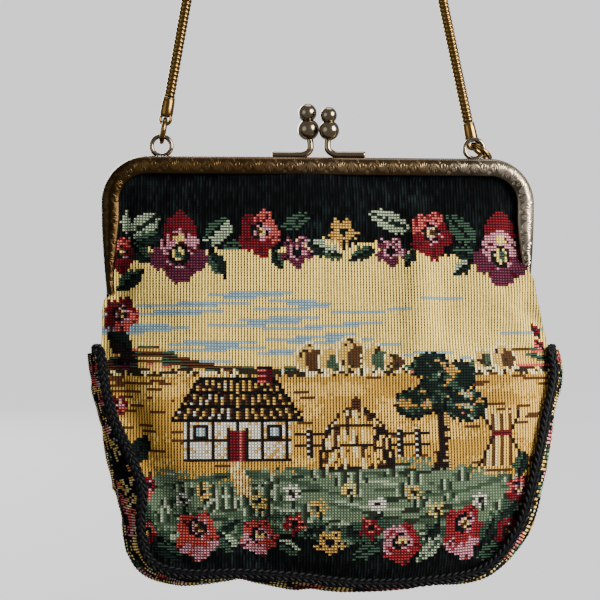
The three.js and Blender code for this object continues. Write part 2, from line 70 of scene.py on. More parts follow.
# A centripetal curve through rows of points, at shares from 0 to 1 that count the rows evenly
def smoothLine(rows, shares):
    rows = np.asarray(rows, float)
    padded = np.vstack((2 * rows[0] - rows[1], rows, 2 * rows[-1] - rows[-2]))
    place = np.clip(np.asarray(shares, float) * (len(rows) - 1), 0, len(rows) - 1 - 1e-9)
    first = place.astype(int)
    over = (place - first)[:, None]
    p0, p1, p2, p3 = (padded[first + i] for i in range(4))
    d0, d1, d2 = (np.sqrt(np.linalg.norm(b - a, axis=1))[:, None] for a, b in ((p0, p1), (p1, p2), (p2, p3)))
    t1 = ((p1 - p0) / d0 - (p2 - p0) / (d0 + d1) + (p2 - p1) / d1) * d1
    t2 = ((p2 - p1) / d1 - (p3 - p1) / (d1 + d2) + (p3 - p2) / d2) * d1
    square = 3 * (p2 - p1) - 2 * t1 - t2
    cube = 2 * (p1 - p2) + t1 + t2
    return p1 + over * (t1 + over * (square + over * cube))


def arcLength(points):
    return np.concatenate(([0], np.cumsum(np.linalg.norm(np.diff(points, axis=0), axis=1))))


def pointsAt(points, along, stops):
    return np.stack([np.interp(stops, along, column) for column in points.T], axis=1)


# Soft noise from 0 to 1 with patches of a given width and height
def patches(x, z, wide, tall, seed):
    size = 211
    grid = np.random.default_rng(seed).random((size, size))
    u = x / wide + size / 2
    v = z / tall + size
    i = np.floor(u).astype(int)
    j = np.floor(v).astype(int)
    a = smoothstep(0, 1, u - i)
    b = smoothstep(0, 1, v - j)
    upper = grid[j % size, i % size] * (1 - a) + grid[j % size, (i + 1) % size] * a
    lower = grid[(j + 1) % size, i % size] * (1 - a) + grid[(j + 1) % size, (i + 1) % size] * a
    return upper * (1 - b) + lower * b


# Material nodes: what is plugged in is another node's output or a plain value
def plug(material, node, inputs):
    for key, value in inputs.items():
        if isinstance(value, bpy.types.NodeSocket):
            material.node_tree.links.new(value, node.inputs[key])
        else:
            node.inputs[key].default_value = value


def addNode(material, kind, inputs=None, **settings):
    node = material.node_tree.nodes.new(kind)
    for key, value in settings.items():
        setattr(node, key, value)
    plug(material, node, inputs or {})
    return node


def newMaterial(name):
    material = bpy.data.materials.new(name)
    material.use_nodes = True
    material.node_tree.nodes.clear()
    shader = addNode(material, "ShaderNodeBsdfPrincipled")
    addNode(material, "ShaderNodeOutputMaterial", {"Surface": shader.outputs["BSDF"]})
    return material, shader


def maths(material, operation, first, second=0.0):
    return addNode(material, "ShaderNodeMath", {0: first, 1: second}, operation=operation).outputs[0]


def mapped(material, value, fromSpan, toSpan=(0.0, 1.0), **settings):
    inputs = {"Value": value, "From Min": fromSpan[0], "From Max": fromSpan[1]}
    inputs.update({"To Min": toSpan[0], "To Max": toSpan[1]})
    return addNode(material, "ShaderNodeMapRange", inputs, **settings).outputs["Result"]


def mixed(material, factor, first, second):
    inputs = {"Factor": factor, "A": first, "B": second}
    return addNode(material, "ShaderNodeMix", inputs, data_type="RGBA").outputs["Result"]


def objectPlace(material):
    return addNode(material, "ShaderNodeTexCoord").outputs["Object"]


def noise(material, scale, detail=2.0):
    inputs = {"Vector": objectPlace(material), "Scale": scale, "Detail": detail}
    return addNode(material, "ShaderNodeTexNoise", inputs).outputs["Fac"]


def bump(material, height, deep, strength):
    inputs = {"Height": height, "Distance": deep, "Strength": strength}
    return addNode(material, "ShaderNodeBump", inputs).outputs["Normal"]


def ramp(material, factor, stops):
    node = addNode(material, "ShaderNodeValToRGB", {"Fac": factor})
    elements = node.color_ramp.elements
    for extra in range(len(stops) - 2):
        elements.new(0.5)
    for element, (position, colour) in zip(elements, stops):
        element.position = position
        element.color = (*linear(colour), 1)
    return node.outputs["Color"]


# Pieces
def addObject(name, data):
    thing = bpy.data.objects.new(name, data)
    bpy.context.scene.collection.objects.link(thing)
    return thing


def dress(piece, node):
    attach(piece, "root")
    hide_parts(node)


# One mesh from several parts, each with its points and faces, and its own wear and finish where it has them
def meshPiece(name, parts, materials, node, wear=0.6):
    points, faces, worn, finishes = [], [], [], []
    for part in parts:
        start = len(points)
        points.extend(part["points"].tolist())
        faces.extend([start + corner for corner in face] for face in part["faces"])
        worn.extend(part.get("wear", [wear] * len(part["points"])))
        finishes.extend([part.get("finish", 0)] * len(part["faces"]))
    mesh = bpy.data.meshes.new(name)
    mesh.from_pydata(inMetres(points).tolist(), [], faces, shade_flat=False)
    mesh.attributes.new("wear", "FLOAT", "POINT").data.foreach_set("value", np.array(worn, np.float32))
    mesh.polygons.foreach_set("material_index", np.array(finishes, np.int32))
    for material in materials:
        mesh.materials.append(material)
    dress(addObject(name, mesh), node)


# Faces between closed rings of points; a closed path joins its last ring to its first
def ringFaces(rings, sides, closedPath=False, capped=True):
    faces = []
    for r in range(rings if closedPath else rings - 1):
        after = (r + 1) % rings
        for i in range(sides):
            j = (i + 1) % sides
            faces.append([r * sides + i, r * sides + j, after * sides + j, after * sides + i])
    if capped and not closedPath:
        faces.append(list(range(sides))[::-1])
        faces.append([(rings - 1) * sides + i for i in range(sides)])
    return faces


# Two directions square to a path at each of its points, kept near a given one
def pathSides(path, near=yAxis):
    along = unit(np.gradient(path, axis=0))
    across = unit(np.cross(along, near))
    return across, np.cross(across, along)


# The radius is one number, a column with one for each point of the path, or a row of them for each point
def tube(path, radius, sides):
    across, facing = pathSides(path)
    turn = circle(sides)[None, :, None]
    ring = np.cos(turn) * across[:, None] + np.sin(turn) * facing[:, None]
    points = path[:, None] + ring * np.broadcast_to(radius, (len(path), sides))[..., None]
    return dict(points=points.reshape(-1, 3), faces=ringFaces(len(path), sides))


def ball(centre, radius, sides=36, rows=20):
    lift = (np.arange(rows + 1) / rows - 0.5)[:, None] * math.pi
    turn = circle(sides)[None, :]
    points = np.stack((np.cos(lift) * np.cos(turn), np.cos(lift) * np.sin(turn), np.sin(lift) + 0 * turn), 2)
    points = points.reshape(-1, 3) * radius + centre
    return dict(points=points, faces=ringFaces(rows + 1, sides, capped=False))


# A ring of wire on a circle in the plane of two directions; the wire is thick along the third
def wireRing(centre, directions, radius, wire, thick, steps, sides):
    first, second, axis = directions
    turn = circle(steps)[:, None]
    around = circle(sides)[None, :, None]
    spokes = (np.cos(turn) * first + np.sin(turn) * second)[:, None]
    points = centre + radius * spokes + wire * np.cos(around) * spokes + thick * np.sin(around) * axis
    return dict(points=points.reshape(-1, 3), faces=ringFaces(steps, sides, closedPath=True))


# Metals: worn bright on the high spots, dark in the hollows.
# Tones run from the left to the right end of a span of x, and paint light: painted shade to the left, a
# painted reflection of the key light to the right
frameFinishWithPaintedLight = dict(
    span=(-0.09, 0.11), dark=(54, 40, 22), roughness=0.28,
    # Frame tones over the brass's own brown: painted shade on the left leg, a painted reflection in the
    # middle, a pale painted reflection of the key light on the right
    tones=[
        (0.03, (44, 32, 16)), (0.1, (100, 77, 44)), (0.33, (96, 72, 43)), (0.46, (130, 106, 76)),
        (0.7, (116, 95, 68)), (1.0, (190, 178, 158)),
    ],
)
# Clasp and chain tones also grow lighter towards the right: painted light from the key at the right
claspFinishWithPaintedLight = dict(
    span=(-0.1, 0.1), dark=(40, 34, 26), roughness=0.14, tones=[(0.0, (112, 98, 76)), (1.0, (146, 134, 112))],
)
chainFinishWithPaintedLight = dict(
    span=(-0.3, 0.1), dark=(12, 9, 4), roughness=0.18, tones=[(0.0, (92, 69, 33)), (1.0, (132, 102, 54))],
)
metalWear = dict(cloud=60.0, detail=4.0, cloudShare=0.35, worn=(0.2, 0.75), smoother=0.08, rougher=0.14)


def metal(name, finish):
    look = metalWear
    material, shader = newMaterial(name)
    wear = addNode(material, "ShaderNodeAttribute", attribute_name="wear").outputs["Fac"]
    cloud = noise(material, look["cloud"], look["detail"])
    # The tone ramp along x is painted light over the metal's own colour: shade to the left, reflection of the
    # key light to the right
    x = addNode(material, "ShaderNodeSeparateXYZ", {0: objectPlace(material)}).outputs["X"]
    toneWithPaintedLight = ramp(material, mapped(material, x, finish["span"]), finish["tones"])
    height = maths(material, "ADD", wear, maths(material, "MULTIPLY", cloud, look["cloudShare"]))
    colour = mixed(material, mapped(material, height, look["worn"]), (*linear(finish["dark"]), 1), toneWithPaintedLight)
    roughSpan = (finish["roughness"] - look["smoother"], finish["roughness"] + look["rougher"])
    rough = mapped(material, cloud, (0.0, 1.0), roughSpan)
    plug(material, shader, {"Base Color": colour, "Metallic": 1.0, "Roughness": rough})
    return material


frameMetal = metal("frameMetal", frameFinishWithPaintedLight)
claspMetal = metal("claspMetal", claspFinishWithPaintedLight)
chainMetal = metal("chainMetal", chainFinishWithPaintedLight)

# Frame: a stamped channel bent round the mouth, its hinge ears, clasp knobs and chain eyes
frameSize = dict(
    halfWidth=95, corner=20, legEnd=-60, legLean=2.5, taperStart=-24, band=8, legBand=3.6, depth=7,
)
frameDetail = dict(
    step=0.22, acrossSteps=42, relief=0.21, scroll=18.0, line=0.19, bead=1.0, fieldEdge=0.16, fieldWide=0.76,
    rim=0.1, rimHalf=0.03, wear=0.8, baseWear=0.16, edgeRows=11, edgeWear=0.4,
)
# Section of the channel, as shares of the band and the depth
frameFace = [
    (0, 0.03), (0, 0.45), (0.05, 0.68), (0.14, 0.84), (0.42, 1.0), (0.8, 0.94), (0.96, 0.84), (1.0, 0.76),
]
frameInside = [(1.0, 0.66), (0.8, 0.79), (0.44, 0.85), (0.24, 0.68), (0.13, 0.4), (0.13, 0.03)]
hingeSize = dict(
    x=91.5, z=-64.5, radius=2.3, neckTop=-54, thickness=1.1, spread=0.2, pinHead=1.7, pinReach=2.45,
)
eyeSize = dict(x=69.2, y=1.7, z=4.8, radius=4.3, wire=1.0)
knobs = dict(
    front=dict(
        side=-1, radius=1.5, rod=[(19.8, 1.3), (11, 1.3), (6.2, 1.5), (3.5, 3.6), (3.2, 6.5), (3.8, 10.5)],
        balls=[(3.9, 11.9, 4.45), (3.7, 18.5, 3.65)],
    ),
    back=dict(
        side=1, radius=1.5, rod=[(-20.9, 1.3), (-12, 1.3), (-7, 1.5), (-4.3, 3.6), (-4, 6.5), (-4.7, 10.5)],
        balls=[(-4.8, 12.7, 4.75), (-5.2, 20, 4.05)],
    ),
)
knobY = dict(foot=1.7, ball=2.1)


# Stations along the outer edge from the left leg's end over the top to the right leg's end.
# Columns of the result: x, z, the direction into the mouth in x and z, band
def frameStations(step):
    size = frameSize
    legSteps = max(4, round((-size["corner"] - size["legEnd"]) / step))
    cornerSteps = max(8, round(size["corner"] * math.pi / 2 / step))
    topSteps = max(4, round((size["halfWidth"] - size["corner"]) / step))
    z = np.linspace(size["legEnd"], -size["corner"], legSteps, endpoint=False)
    down = (-size["corner"] - z) / (-size["corner"] - size["legEnd"])
    taper = smoothstep(-size["taperStart"], -size["legEnd"], -z)
    legX = size["legLean"] * down**2 - size["halfWidth"]
    legBand = size["band"] + (size["legBand"] - size["band"]) * taper
    leg = np.stack((legX, z, np.ones_like(z), 0 * z, legBand), 1)
    turn = np.linspace(math.pi, math.pi / 2, cornerSteps, endpoint=False)
    inX, inZ = -np.cos(turn), -np.sin(turn)
    cornerX = size["corner"] * (1 - inX) - size["halfWidth"]
    bend = np.stack((cornerX, -size["corner"] * (1 + inZ), inX, inZ, 0 * turn + size["band"]), 1)
    x = np.linspace(size["corner"] - size["halfWidth"], 0, topSteps, endpoint=False)
    top = np.stack((x, 0 * x, 0 * x, 0 * x - 1, 0 * x + size["band"]), 1)
    left = np.vstack((leg, bend, top))
    right = left[::-1] * np.array((-1, 1, -1, 1, 1))
    return np.vstack((left, [(0, 0, 0, -1, size["band"])], right))


def framePoints(stations, across):
    return stations[:, 0:2] + stations[:, 2:4] * (across * stations[:, 4])[:, None]


# The stamped ornament: a waving stem with curls and leaf sprays, as lines in a unit of length 1 by 1
def scrollLines():
    share = np.linspace(0, 1, 25)
    lines = [np.stack((share, 0.5 + 0.3 * np.sin(4 * math.pi * share)), 1)]
    curls = (  # x, z, size, hand
        (0.125, 0.4, 0.3, 1), (0.375, 0.6, 0.3, -1), (0.25, 0.86, 0.13, 1), (0.02, 0.14, 0.13, -1),
        (0.5, 0.14, 0.13, 1), (0.75, 0.86, 0.13, -1),
    )
    for middleX, middleZ, size, hand in curls:
        turn = np.linspace(0, (1.6 + 3.4 * size) * math.pi, 24)
        reach = size * (1 - 0.86 * turn / turn[-1])
        curlX = middleX + hand * reach * np.cos(turn) * 0.3
        lines.append(np.stack((curlX, middleZ + hand * reach * np.sin(turn)), 1))
    for rootX, rootZ, tall in ((0.625, 0.76, -0.64), (0.875, 0.24, 0.64)):
        for leafNumber in range(-2, 3):
            leafX = rootX + leafNumber * (0.018 + 0.034 * share[::8]) + 0.03 * share[::8] ** 2
            lines.append(np.stack((leafX, rootZ + tall * share[::8] * (1 - 0.14 * abs(leafNumber))), 1))
    return lines


def stampRelief(along, across, band):
    detail = frameDetail
    place = along / detail["scroll"]
    u = place - np.floor(place)
    v = np.clip((across - detail["fieldEdge"]) / detail["fieldWide"], -0.5, 1.5)
    nearest = np.full(u.shape, 9.0)
    for line in scrollLines():
        for (x0, z0), (x1, z1) in zip(line[:-1], line[1:]):
            lengthX = (x1 - x0) * detail["scroll"]
            lengthZ = (z1 - z0) * detail["fieldWide"] * band
            awayX = (u - x0) * detail["scroll"]
            awayZ = (v - z0) * detail["fieldWide"] * band
            share = np.clip((awayX * lengthX + awayZ * lengthZ) / (lengthX**2 + lengthZ**2 + 1e-6), 0, 1)
            nearest = np.minimum(nearest, np.hypot(awayX - share * lengthX, awayZ - share * lengthZ))
    raised = np.exp(-((nearest / detail["line"]) ** 2))
    inside = smoothstep(0.13, 0.19, across) * (1 - smoothstep(0.9, 0.96, across))
    rim = np.exp(-(((across - detail["rim"]) / detail["rimHalf"]) ** 2))
    beads = 0.55 + 0.45 * np.sin(along * 2 * math.pi / detail["bead"])
    return raised * inside + 0.8 * rim * beads


def frameChannel(side):
    detail = frameDetail
    stations = frameStations(detail["step"])
    along = arcLength(stations[:, :2])
    face = smoothLine(frameFace, np.linspace(0, 1, detail["acrossSteps"]))
    section = np.vstack((face, frameInside))
    across = np.broadcast_to(section[:, 0], (len(stations), len(section)))
    deep = np.broadcast_to(section[:, 1] * frameSize["depth"], across.shape)
    band = np.broadcast_to(stations[:, 4:5], across.shape)
    relief = stampRelief(np.broadcast_to(along[:, None], across.shape), across, band)
    relief[:, len(face):] = 0
    deep = deep + (relief - 0.5) * detail["relief"] * (deep > 0.6 * frameSize["depth"])
    inset = across * band
    x = stations[:, 0:1] + stations[:, 2:3] * inset
    z = stations[:, 1:2] + stations[:, 3:4] * inset
    points = np.stack((x, side * deep, z), 2).reshape(-1, 3)
    wear = np.clip(detail["wear"] * relief + detail["baseWear"], 0, 1)
    edge = wear[:, :detail["edgeRows"]]
    edge[:] = np.maximum(edge, detail["edgeWear"])
    return dict(points=points, faces=ringFaces(len(stations), len(section)), wear=wear.reshape(-1))


def claspKnob(knob):
    rows = [(x, knob["side"] * knobY["foot"], z) for x, z in knob["rod"]]
    rows[-1] = (rows[-1][0], knob["side"] * knobY["ball"], rows[-1][2])
    parts = [tube(smoothLine(rows, np.linspace(0, 1, 60)), knob["radius"], 18)]
    for x, z, radius in knob["balls"]:
        parts.append(ball((x, knob["side"] * knobY["ball"], z), radius))
    return [dict(part, finish=1) for part in parts]


# A hinge ear is a small plate with a round end
def hingeEar(side, hand):
    size = hingeSize
    turn = np.linspace(math.pi, 2 * math.pi + 1.2, 22)
    arc = np.stack((size["radius"] * np.cos(turn), size["z"] + size["radius"] * np.sin(turn)), 1)
    outline = np.vstack(([(-0.4, size["neckTop"]), (-2, size["neckTop"])], arc))
    start = size["spread"] if side < 0 else -size["spread"] - size["thickness"]
    layers = []
    for x in (start, start + size["thickness"]):
        plateX = np.full(len(outline), hand * (size["x"] + x))
        layers.append(np.stack((plateX, -side * outline[:, 0], outline[:, 1]), 1))
    return dict(points=np.vstack(layers), faces=ringFaces(2, len(outline)))


def rivet(hand):
    size = hingeSize
    reach = np.array((-1, -0.96, -0.86, -0.72, -0.715, 0.715, 0.72, 0.86, 0.96, 1)) * size["pinReach"]
    radius = np.array((0.05, 0.6, 0.9, 1, 0.53, 0.53, 1, 0.9, 0.6, 0.05)) * size["pinHead"]
    path = np.stack((hand * size["x"] + reach, 0 * reach, 0 * reach + size["z"]), 1)
    return tube(path, radius[:, None], 20)


def chainEye(hand):
    centre = np.array((hand * eyeSize["x"], eyeSize["y"], eyeSize["z"]))
    wire = eyeSize["wire"]
    ring = wireRing(centre, (xAxis, zAxis, yAxis), eyeSize["radius"], wire, wire, 48, 14)
    return dict(ring, finish=1)


def buildFrame():
    eyes = [chainEye(-1), chainEye(1)]
    for name, half, side, more in (("frameFront", "front", -1, []), ("frameBack", "back", 1, eyes)):
        parts = [frameChannel(side), *claspKnob(knobs[half]), hingeEar(side, -1), hingeEar(side, 1), *more]
        meshPiece(name, parts, [frameMetal, claspMetal], "frame_" + half)
    meshPiece("hingePinLeft", [rivet(-1)], [frameMetal], "hinge_pin_left")
    meshPiece("hingePinRight", [rivet(1)], [frameMetal], "hinge_pin_right")


buildFrame()
print("frame halves, clasp and hinge pins built")

# Jump rings, caps and the snake chain over the hook
ringSize = dict(radius=4.8, wire=1.1, gap=0.3, rightTilt=38, right=(72.9, 4.2, 4.05))
capSize = dict(hole=1.55, tab=2.95, thick=2.1, start=1.0, length=9.5)
chainSize = dict(
    radius=2.35, bend=12.0, bendZ=297.5, pitch=1.85, ringsPerRib=6, sides=18, rib=0.2, slant=0.3, wear=0.75,
)


def onBend(angle):
    x = hookPlace["x"] + chainSize["bend"] * np.cos(angle)
    return np.stack((x, 0 * x + hookPlace["y"], chainSize["bendZ"] + chainSize["bend"] * np.sin(angle)), -1)


# Where a straight run from a point meets the bend over the hook
def bendContact(point, hand):
    away = np.array((point[0] - hookPlace["x"], point[2] - chainSize["bendZ"]))
    turn = math.acos(chainSize["bend"] / np.linalg.norm(away))
    angle = (math.atan2(away[1], away[0]) + hand * turn) % (2 * math.pi)
    return angle, onBend(angle)


def chainEnd(centre, up, hand):
    hole = centre + up * ringSize["radius"]
    angle, contact = bendContact(hole, hand)
    along = unit(contact - hole)
    return dict(hole=hole + along * ringSize["gap"], along=along, angle=angle, centre=centre, up=up)


def chainEnds():
    lift = eyeSize["radius"] - eyeSize["wire"] - ringSize["wire"] - ringSize["gap"]
    bottom = np.array((-eyeSize["x"], eyeSize["y"], eyeSize["z"] + lift))
    leftUp = unit(bendContact(bottom, -1)[1] - bottom)
    tilt = math.radians(ringSize["rightTilt"])
    rightUp = np.array((-math.cos(tilt), 0, math.sin(tilt)))
    left = chainEnd(bottom + leftUp * ringSize["radius"], leftUp, -1)
    right = chainEnd(np.array(ringSize["right"]), rightUp, 1)
    return left, right


# A cap: a thimble drilled through its round lower end
def chainCap(end):
    across = unit(np.cross(end["along"], yAxis))
    facing = np.cross(across, end["along"])
    width = (capSize["tab"] - capSize["hole"]) / 2
    directions = (across, end["along"], facing)
    eyelet = wireRing(end["hole"], directions, capSize["hole"] + width, width, capSize["thick"], 40, 12)
    steps = np.array((capSize["start"], 1.15, 1.6, 2.6, 5.4, 7.4, 8.4, 8.7, 8.9, 9.4, capSize["length"]))
    radius = np.array((1.7, 2.3, 2.65, 2.85, 2.8, 2.7, 2.65, 2.45, 2.65, 2.6, 2.3))
    return [eyelet, tube(end["hole"] + steps[:, None] * end["along"], radius[:, None], 24)]


def snakeChain(left, right):
    size = chainSize
    clear = capSize["length"] + ringSize["gap"]
    first, last = (end["hole"] + end["along"] * clear for end in (left, right))
    corners = np.vstack((first, onBend(np.linspace(left["angle"], right["angle"], 60)), last))
    along = arcLength(corners)
    ribs = round(along[-1] / size["pitch"])
    stops = np.linspace(0, along[-1], ribs * size["ringsPerRib"] + 1)
    turn = circle(size["sides"])
    zigzag = np.abs(((turn / math.pi * 2) % 2) - 1)
    phase = stops[:, None] / along[-1] * ribs + size["slant"] * zigzag[None, :]
    swell = np.abs(np.sin(phase * math.pi)) ** 0.7
    radius = size["radius"] * (1 - size["rib"] * (1 - swell))
    links = tube(pointsAt(corners, along, stops), radius, size["sides"])
    print("chain", round(along[-1]), "mm,", ribs, "ribs")
    return dict(links, wear=(swell * size["wear"]).reshape(-1))


def buildChain():
    left, right = chainEnds()
    for name, end in (("Left", left), ("Right", right)):
        directions = (yAxis, end["up"], np.cross(yAxis, end["up"]))
        wire = ringSize["wire"]
        ring = wireRing(end["centre"], directions, ringSize["radius"], wire, wire, 56, 14)
        meshPiece("jumpRing" + name, [ring], [chainMetal], "jump_ring_" + name.lower())
        meshPiece("chainCap" + name, chainCap(end), [chainMetal], "chain_cap_" + name.lower())
    meshPiece("snakeChain", [snakeChain(left, right)], [chainMetal], "chain")


buildChain()

# Seam of panel and gusset from the left top round the bottom to the right top: x, z, deep, swell
seamRows = np.array([
    (-95, -84.5, 6, 6), (-92.6, -98.6, 9.5, 7.5), (-89, -112, 13, 8), (-82.5, -126, 16, 12),
    (-76.8, -142, 18.3, 13.5), (-77.4, -157, 19, 9), (-73, -172, 20, 9.5), (-60, -176.6, 20.8, 9.5),
    (-36, -177, 21, 7), (-12, -179, 21, 9.8), (14, -182.1, 21, 8), (48, -181.2, 21, 6.6),
    (70, -176, 20.3, 9.5), (83.5, -160, 19, 11), (91.3, -136, 17.6, 10.5), (97.4, -112, 13.2, 8.5),
    (102.2, -94, 8.3, 6.5), (101.2, -85, 6, 6),
])
seamEnd = len(seamRows) - 1
seamCorner = dict(left=6, right=12)
# Free edges between the frame's legs and the seam: x, z, deep
flareLeft = np.array([(-93.6, -62, 4.2), (-94.6, -67, 4.2), (-94.6, -77, 4.4)])
flareRight = np.array([
    (91.6, -50, 8.9), (93.9, -54, 8.9), (95.0, -62, 8.4), (97, -69, 6.2), (99.4, -76.5, 4.6),
])
# Where the cloth laps over the right leg
legCover = dict(top=-46, full=-51, inner=80, outer=89, bottom=-63, end=-76, deep=8.9)
panelSize = dict(
    wall=1.6, tuckAcross=0.45, lipDeep=4.06, lipClear=0.5, seamFlat=2.5, seamGap=0.4, puff=9.0,
    puffReach=24.0, foldFade=7.0, pitchX=1.28, pitchZ=1.17, left=-98, right=106, drop=185,
)
stitchRise = dict(height=0.34, least=0.7, most=1.3, seed=5)
# Folds: from, to, width, lift
folds = [
    ((-88, -96), (-70, -150), 9, -3), ((-74, -90), (-57, -150), 10, 1.6), ((-34, -178), (-30, -152), 8, -2),
    ((41, -22), (44, -76), 7, 1.2), ((96, -78), (70, -122), 9, 1.4),
]


# Columns of the result: x, z, deep, swell, and the direction out of the panel in x and z
def seamAt(shares):
    step = 1e-4
    curve = smoothLine(seamRows[:, :3], shares)
    ahead = smoothLine(seamRows[:, :3], np.minimum(shares + step, 1))
    behind = smoothLine(seamRows[:, :3], np.maximum(shares - step, 0))
    along = unit((ahead - behind)[:, :2])
    swell = np.interp(shares * seamEnd, np.arange(len(seamRows)), seamRows[:, 3])
    return np.column_stack((curve, swell, along[:, 1], -along[:, 0]))


def seamBetween(first, last, steps=120):
    return seamAt(np.linspace(first, last, steps) / seamEnd)


def swellEdge():
    stations = frameStations(4)
    lip = framePoints(stations, 1 + panelSize["lipClear"] / stations[:, 4])
    lip = np.column_stack((lip, np.full(len(lip), panelSize["lipDeep"])))
    lip = lip[(lip[:, 0] < 0) | (lip[:, 1] > legCover["top"])]
    seam = seamBetween(seamEnd, 0, 240)[:, :3]
    edge = np.vstack((lip, flareRight, seam, flareLeft[::-1], lip[:1]))
    along = arcLength(edge[:, :2])
    return pointsAt(edge, along, np.linspace(0, along[-1], 361))


edgeLine = swellEdge()


def foldLift(x, z):
    lift = 0 * x
    for (fromX, fromZ), (toX, toZ), width, height in folds:
        spanX, spanZ = toX - fromX, toZ - fromZ
        share = np.clip(((x - fromX) * spanX + (z - fromZ) * spanZ) / (spanX**2 + spanZ**2), 0, 1)
        away = np.hypot(x - fromX - share * spanX, z - fromZ - share * spanZ)
        lift = lift + height * np.exp(-((away / width) ** 2))
    return lift


# Share of the cloth that laps over the frame's right leg
def lapOver(x, z):
    cover = legCover
    starts = smoothstep(-cover["top"], -cover["full"], -z) * smoothstep(cover["inner"], cover["outer"], x)
    return starts * (1 - smoothstep(-cover["bottom"], -cover["end"], -z))


# How far the cloth stands from the middle plane: the edges' own depth spread inwards, swelling and folds
def clothDepth(x, z):
    size = panelSize
    depths = []
    ax, az, bx, bz = edgeLine[:-1, 0], edgeLine[:-1, 1], edgeLine[1:, 0], edgeLine[1:, 1]
    for px, pz in zip(np.array_split(x.ravel(), 12), np.array_split(z.ravel(), 12)):
        away = np.maximum(np.hypot(px[:, None] - edgeLine[:, 0], pz[:, None] - edgeLine[:, 1]), 0.01)
        share = away**-3.0
        edge = (share * edgeLine[:, 2]).sum(1) / share.sum(1)
        crosses = (az > pz[:, None]) != (bz > pz[:, None])
        crossX = ax + (pz[:, None] - az) * (bx - ax) / np.where(bz == az, 1e-9, bz - az)
        inside = (crosses & (px[:, None] < crossX)).sum(1) % 2 == 1
        reach = np.where(inside, np.maximum(0, away.min(1) - size["seamFlat"]), 0)
        swelling = size["puff"] * (1 - np.exp(-reach / size["puffReach"]))
        deep = edge + swelling + foldLift(px, pz) * (1 - np.exp(-reach / size["foldFade"]))
        depths.append(deep + lapOver(px, pz) * np.maximum(0, legCover["deep"] - deep))
    return np.concatenate(depths).reshape(x.shape)


# The four sides of a panel's outline, met in the middle of its round corners
def panelSides():
    stations = frameStations(0.8)
    tucked = framePoints(stations, panelSize["tuckAcross"])
    diagonal = np.hypot(*(stations[:, 2:4] - (math.sqrt(0.5), -math.sqrt(0.5))).T)
    first = int(diagonal.argmin())
    last = len(stations) - 1 - first
    corner = seamCorner
    top = tucked[first:last + 1]
    left = np.vstack((tucked[first::-1], flareLeft[:, :2], seamBetween(0, corner["left"])[:, :2]))
    lower = tucked[last:]
    lower = lower[lower[:, 1] > legCover["top"]]
    right = np.vstack((lower, flareRight[:, :2], seamBetween(seamEnd, corner["right"])[:, :2]))
    bottom = seamBetween(corner["left"], corner["right"], 160)[:, :2]
    return top, left, right, bottom


# A grid of threads over the panel; threads that would leave it are held at its outline
def panelGrid(pitchX, pitchZ):
    top, left, right, bottom = panelSides()
    firstColumn, lastColumn = math.floor(panelSize["left"] / pitchX), math.ceil(panelSize["right"] / pitchX)
    columns = np.arange(firstColumn, lastColumn + 1) * pitchX
    rows = np.arange(0, math.ceil(panelSize["drop"] / pitchZ) + 1) * -pitchZ
    x, z = np.meshgrid(columns, rows)
    z = np.clip(z, np.interp(x, *bottom.T), np.interp(x, *top.T))
    return np.clip(x, np.interp(-z, -left[:, 1], left[:, 0]), np.interp(-z, -right[:, 1], right[:, 0])), z


# Numbers of the grid's points, with those that coincide counted once
def mergedPoints(grid):
    kept, numbers = np.unique(np.round(grid.reshape(-1, 3), 4), axis=0, return_inverse=True)
    return kept, numbers.reshape(grid.shape[:2])


def gridCells(numbers):
    corners = (numbers[:-1, :-1], numbers[:-1, 1:], numbers[1:, 1:], numbers[1:, :-1])
    return np.stack(corners, 2).reshape(-1, 4)


def plainFaces(cells):
    faces = []
    for cell in cells.tolist():
        corners = [c for i, c in enumerate(cell) if c != cell[i - 1]]
        if len(set(corners)) == len(corners) and len(corners) > 2:
            faces.append(corners)
    return faces


def openEdges(faces, count):
    edges = np.array([(face[i - 1], corner) for face in faces for i, corner in enumerate(face)])
    forward = edges[:, 0] * count + edges[:, 1]
    backward = edges[:, 1] * count + edges[:, 0]
    return edges[~np.isin(forward, backward)]


clothSim = dict(
    pitch=4.0, frames=45, cap=4.0, panelPressure=0.0, gussetPressure=60.0,
    settings=dict(
        quality=8, mass=0.001, tension_stiffness=25, compression_stiffness=25, shear_stiffness=8,
        bending_stiffness=0.6, shrink_min=-0.008, use_pressure=True, vertex_group_mass="rim",
    ),
)


# Lets a sheet with a held rim hang and crease, and gives back how far each grid point moved
def settle(name, grid, pressure):
    points, numbers = mergedPoints(grid)
    faces = plainFaces(gridCells(numbers))
    mesh = bpy.data.meshes.new(name)
    mesh.from_pydata(inMetres(points).tolist(), [], faces)
    sheet = addObject(name, mesh)
    rim = sheet.vertex_groups.new(name="rim")
    rim.add(np.unique(openEdges(faces, len(points))).tolist(), 1.0, "REPLACE")
    modifier = sheet.modifiers.new("hang", "CLOTH")
    for key, value in clothSim["settings"].items():
        setattr(modifier.settings, key, value)
    modifier.settings.uniform_pressure_force = pressure
    modifier.collision_settings.use_collision = False
    modifier.collision_settings.use_self_collision = False
    modifier.point_cache.frame_end = clothSim["frames"]
    for number in range(1, clothSim["frames"] + 1):
        bpy.context.scene.frame_set(number)
    hung = sheet.evaluated_get(bpy.context.evaluated_depsgraph_get()).to_mesh()
    places = np.zeros(len(points) * 3)
    hung.vertices.foreach_get("co", places)
    moved = (places.reshape(-1, 3) - inMetres(points)) * 1000
    length = np.linalg.norm(moved, axis=1, keepdims=True)
    moved = moved * np.tanh(length / clothSim["cap"]) * clothSim["cap"] / np.maximum(length, 1e-6)
    bpy.data.objects.remove(sheet)
    bpy.context.scene.frame_set(1)
    print(name, "moved by up to", round(float(length.max()), 1), "mm, held to", clothSim["cap"])
    return moved[numbers]


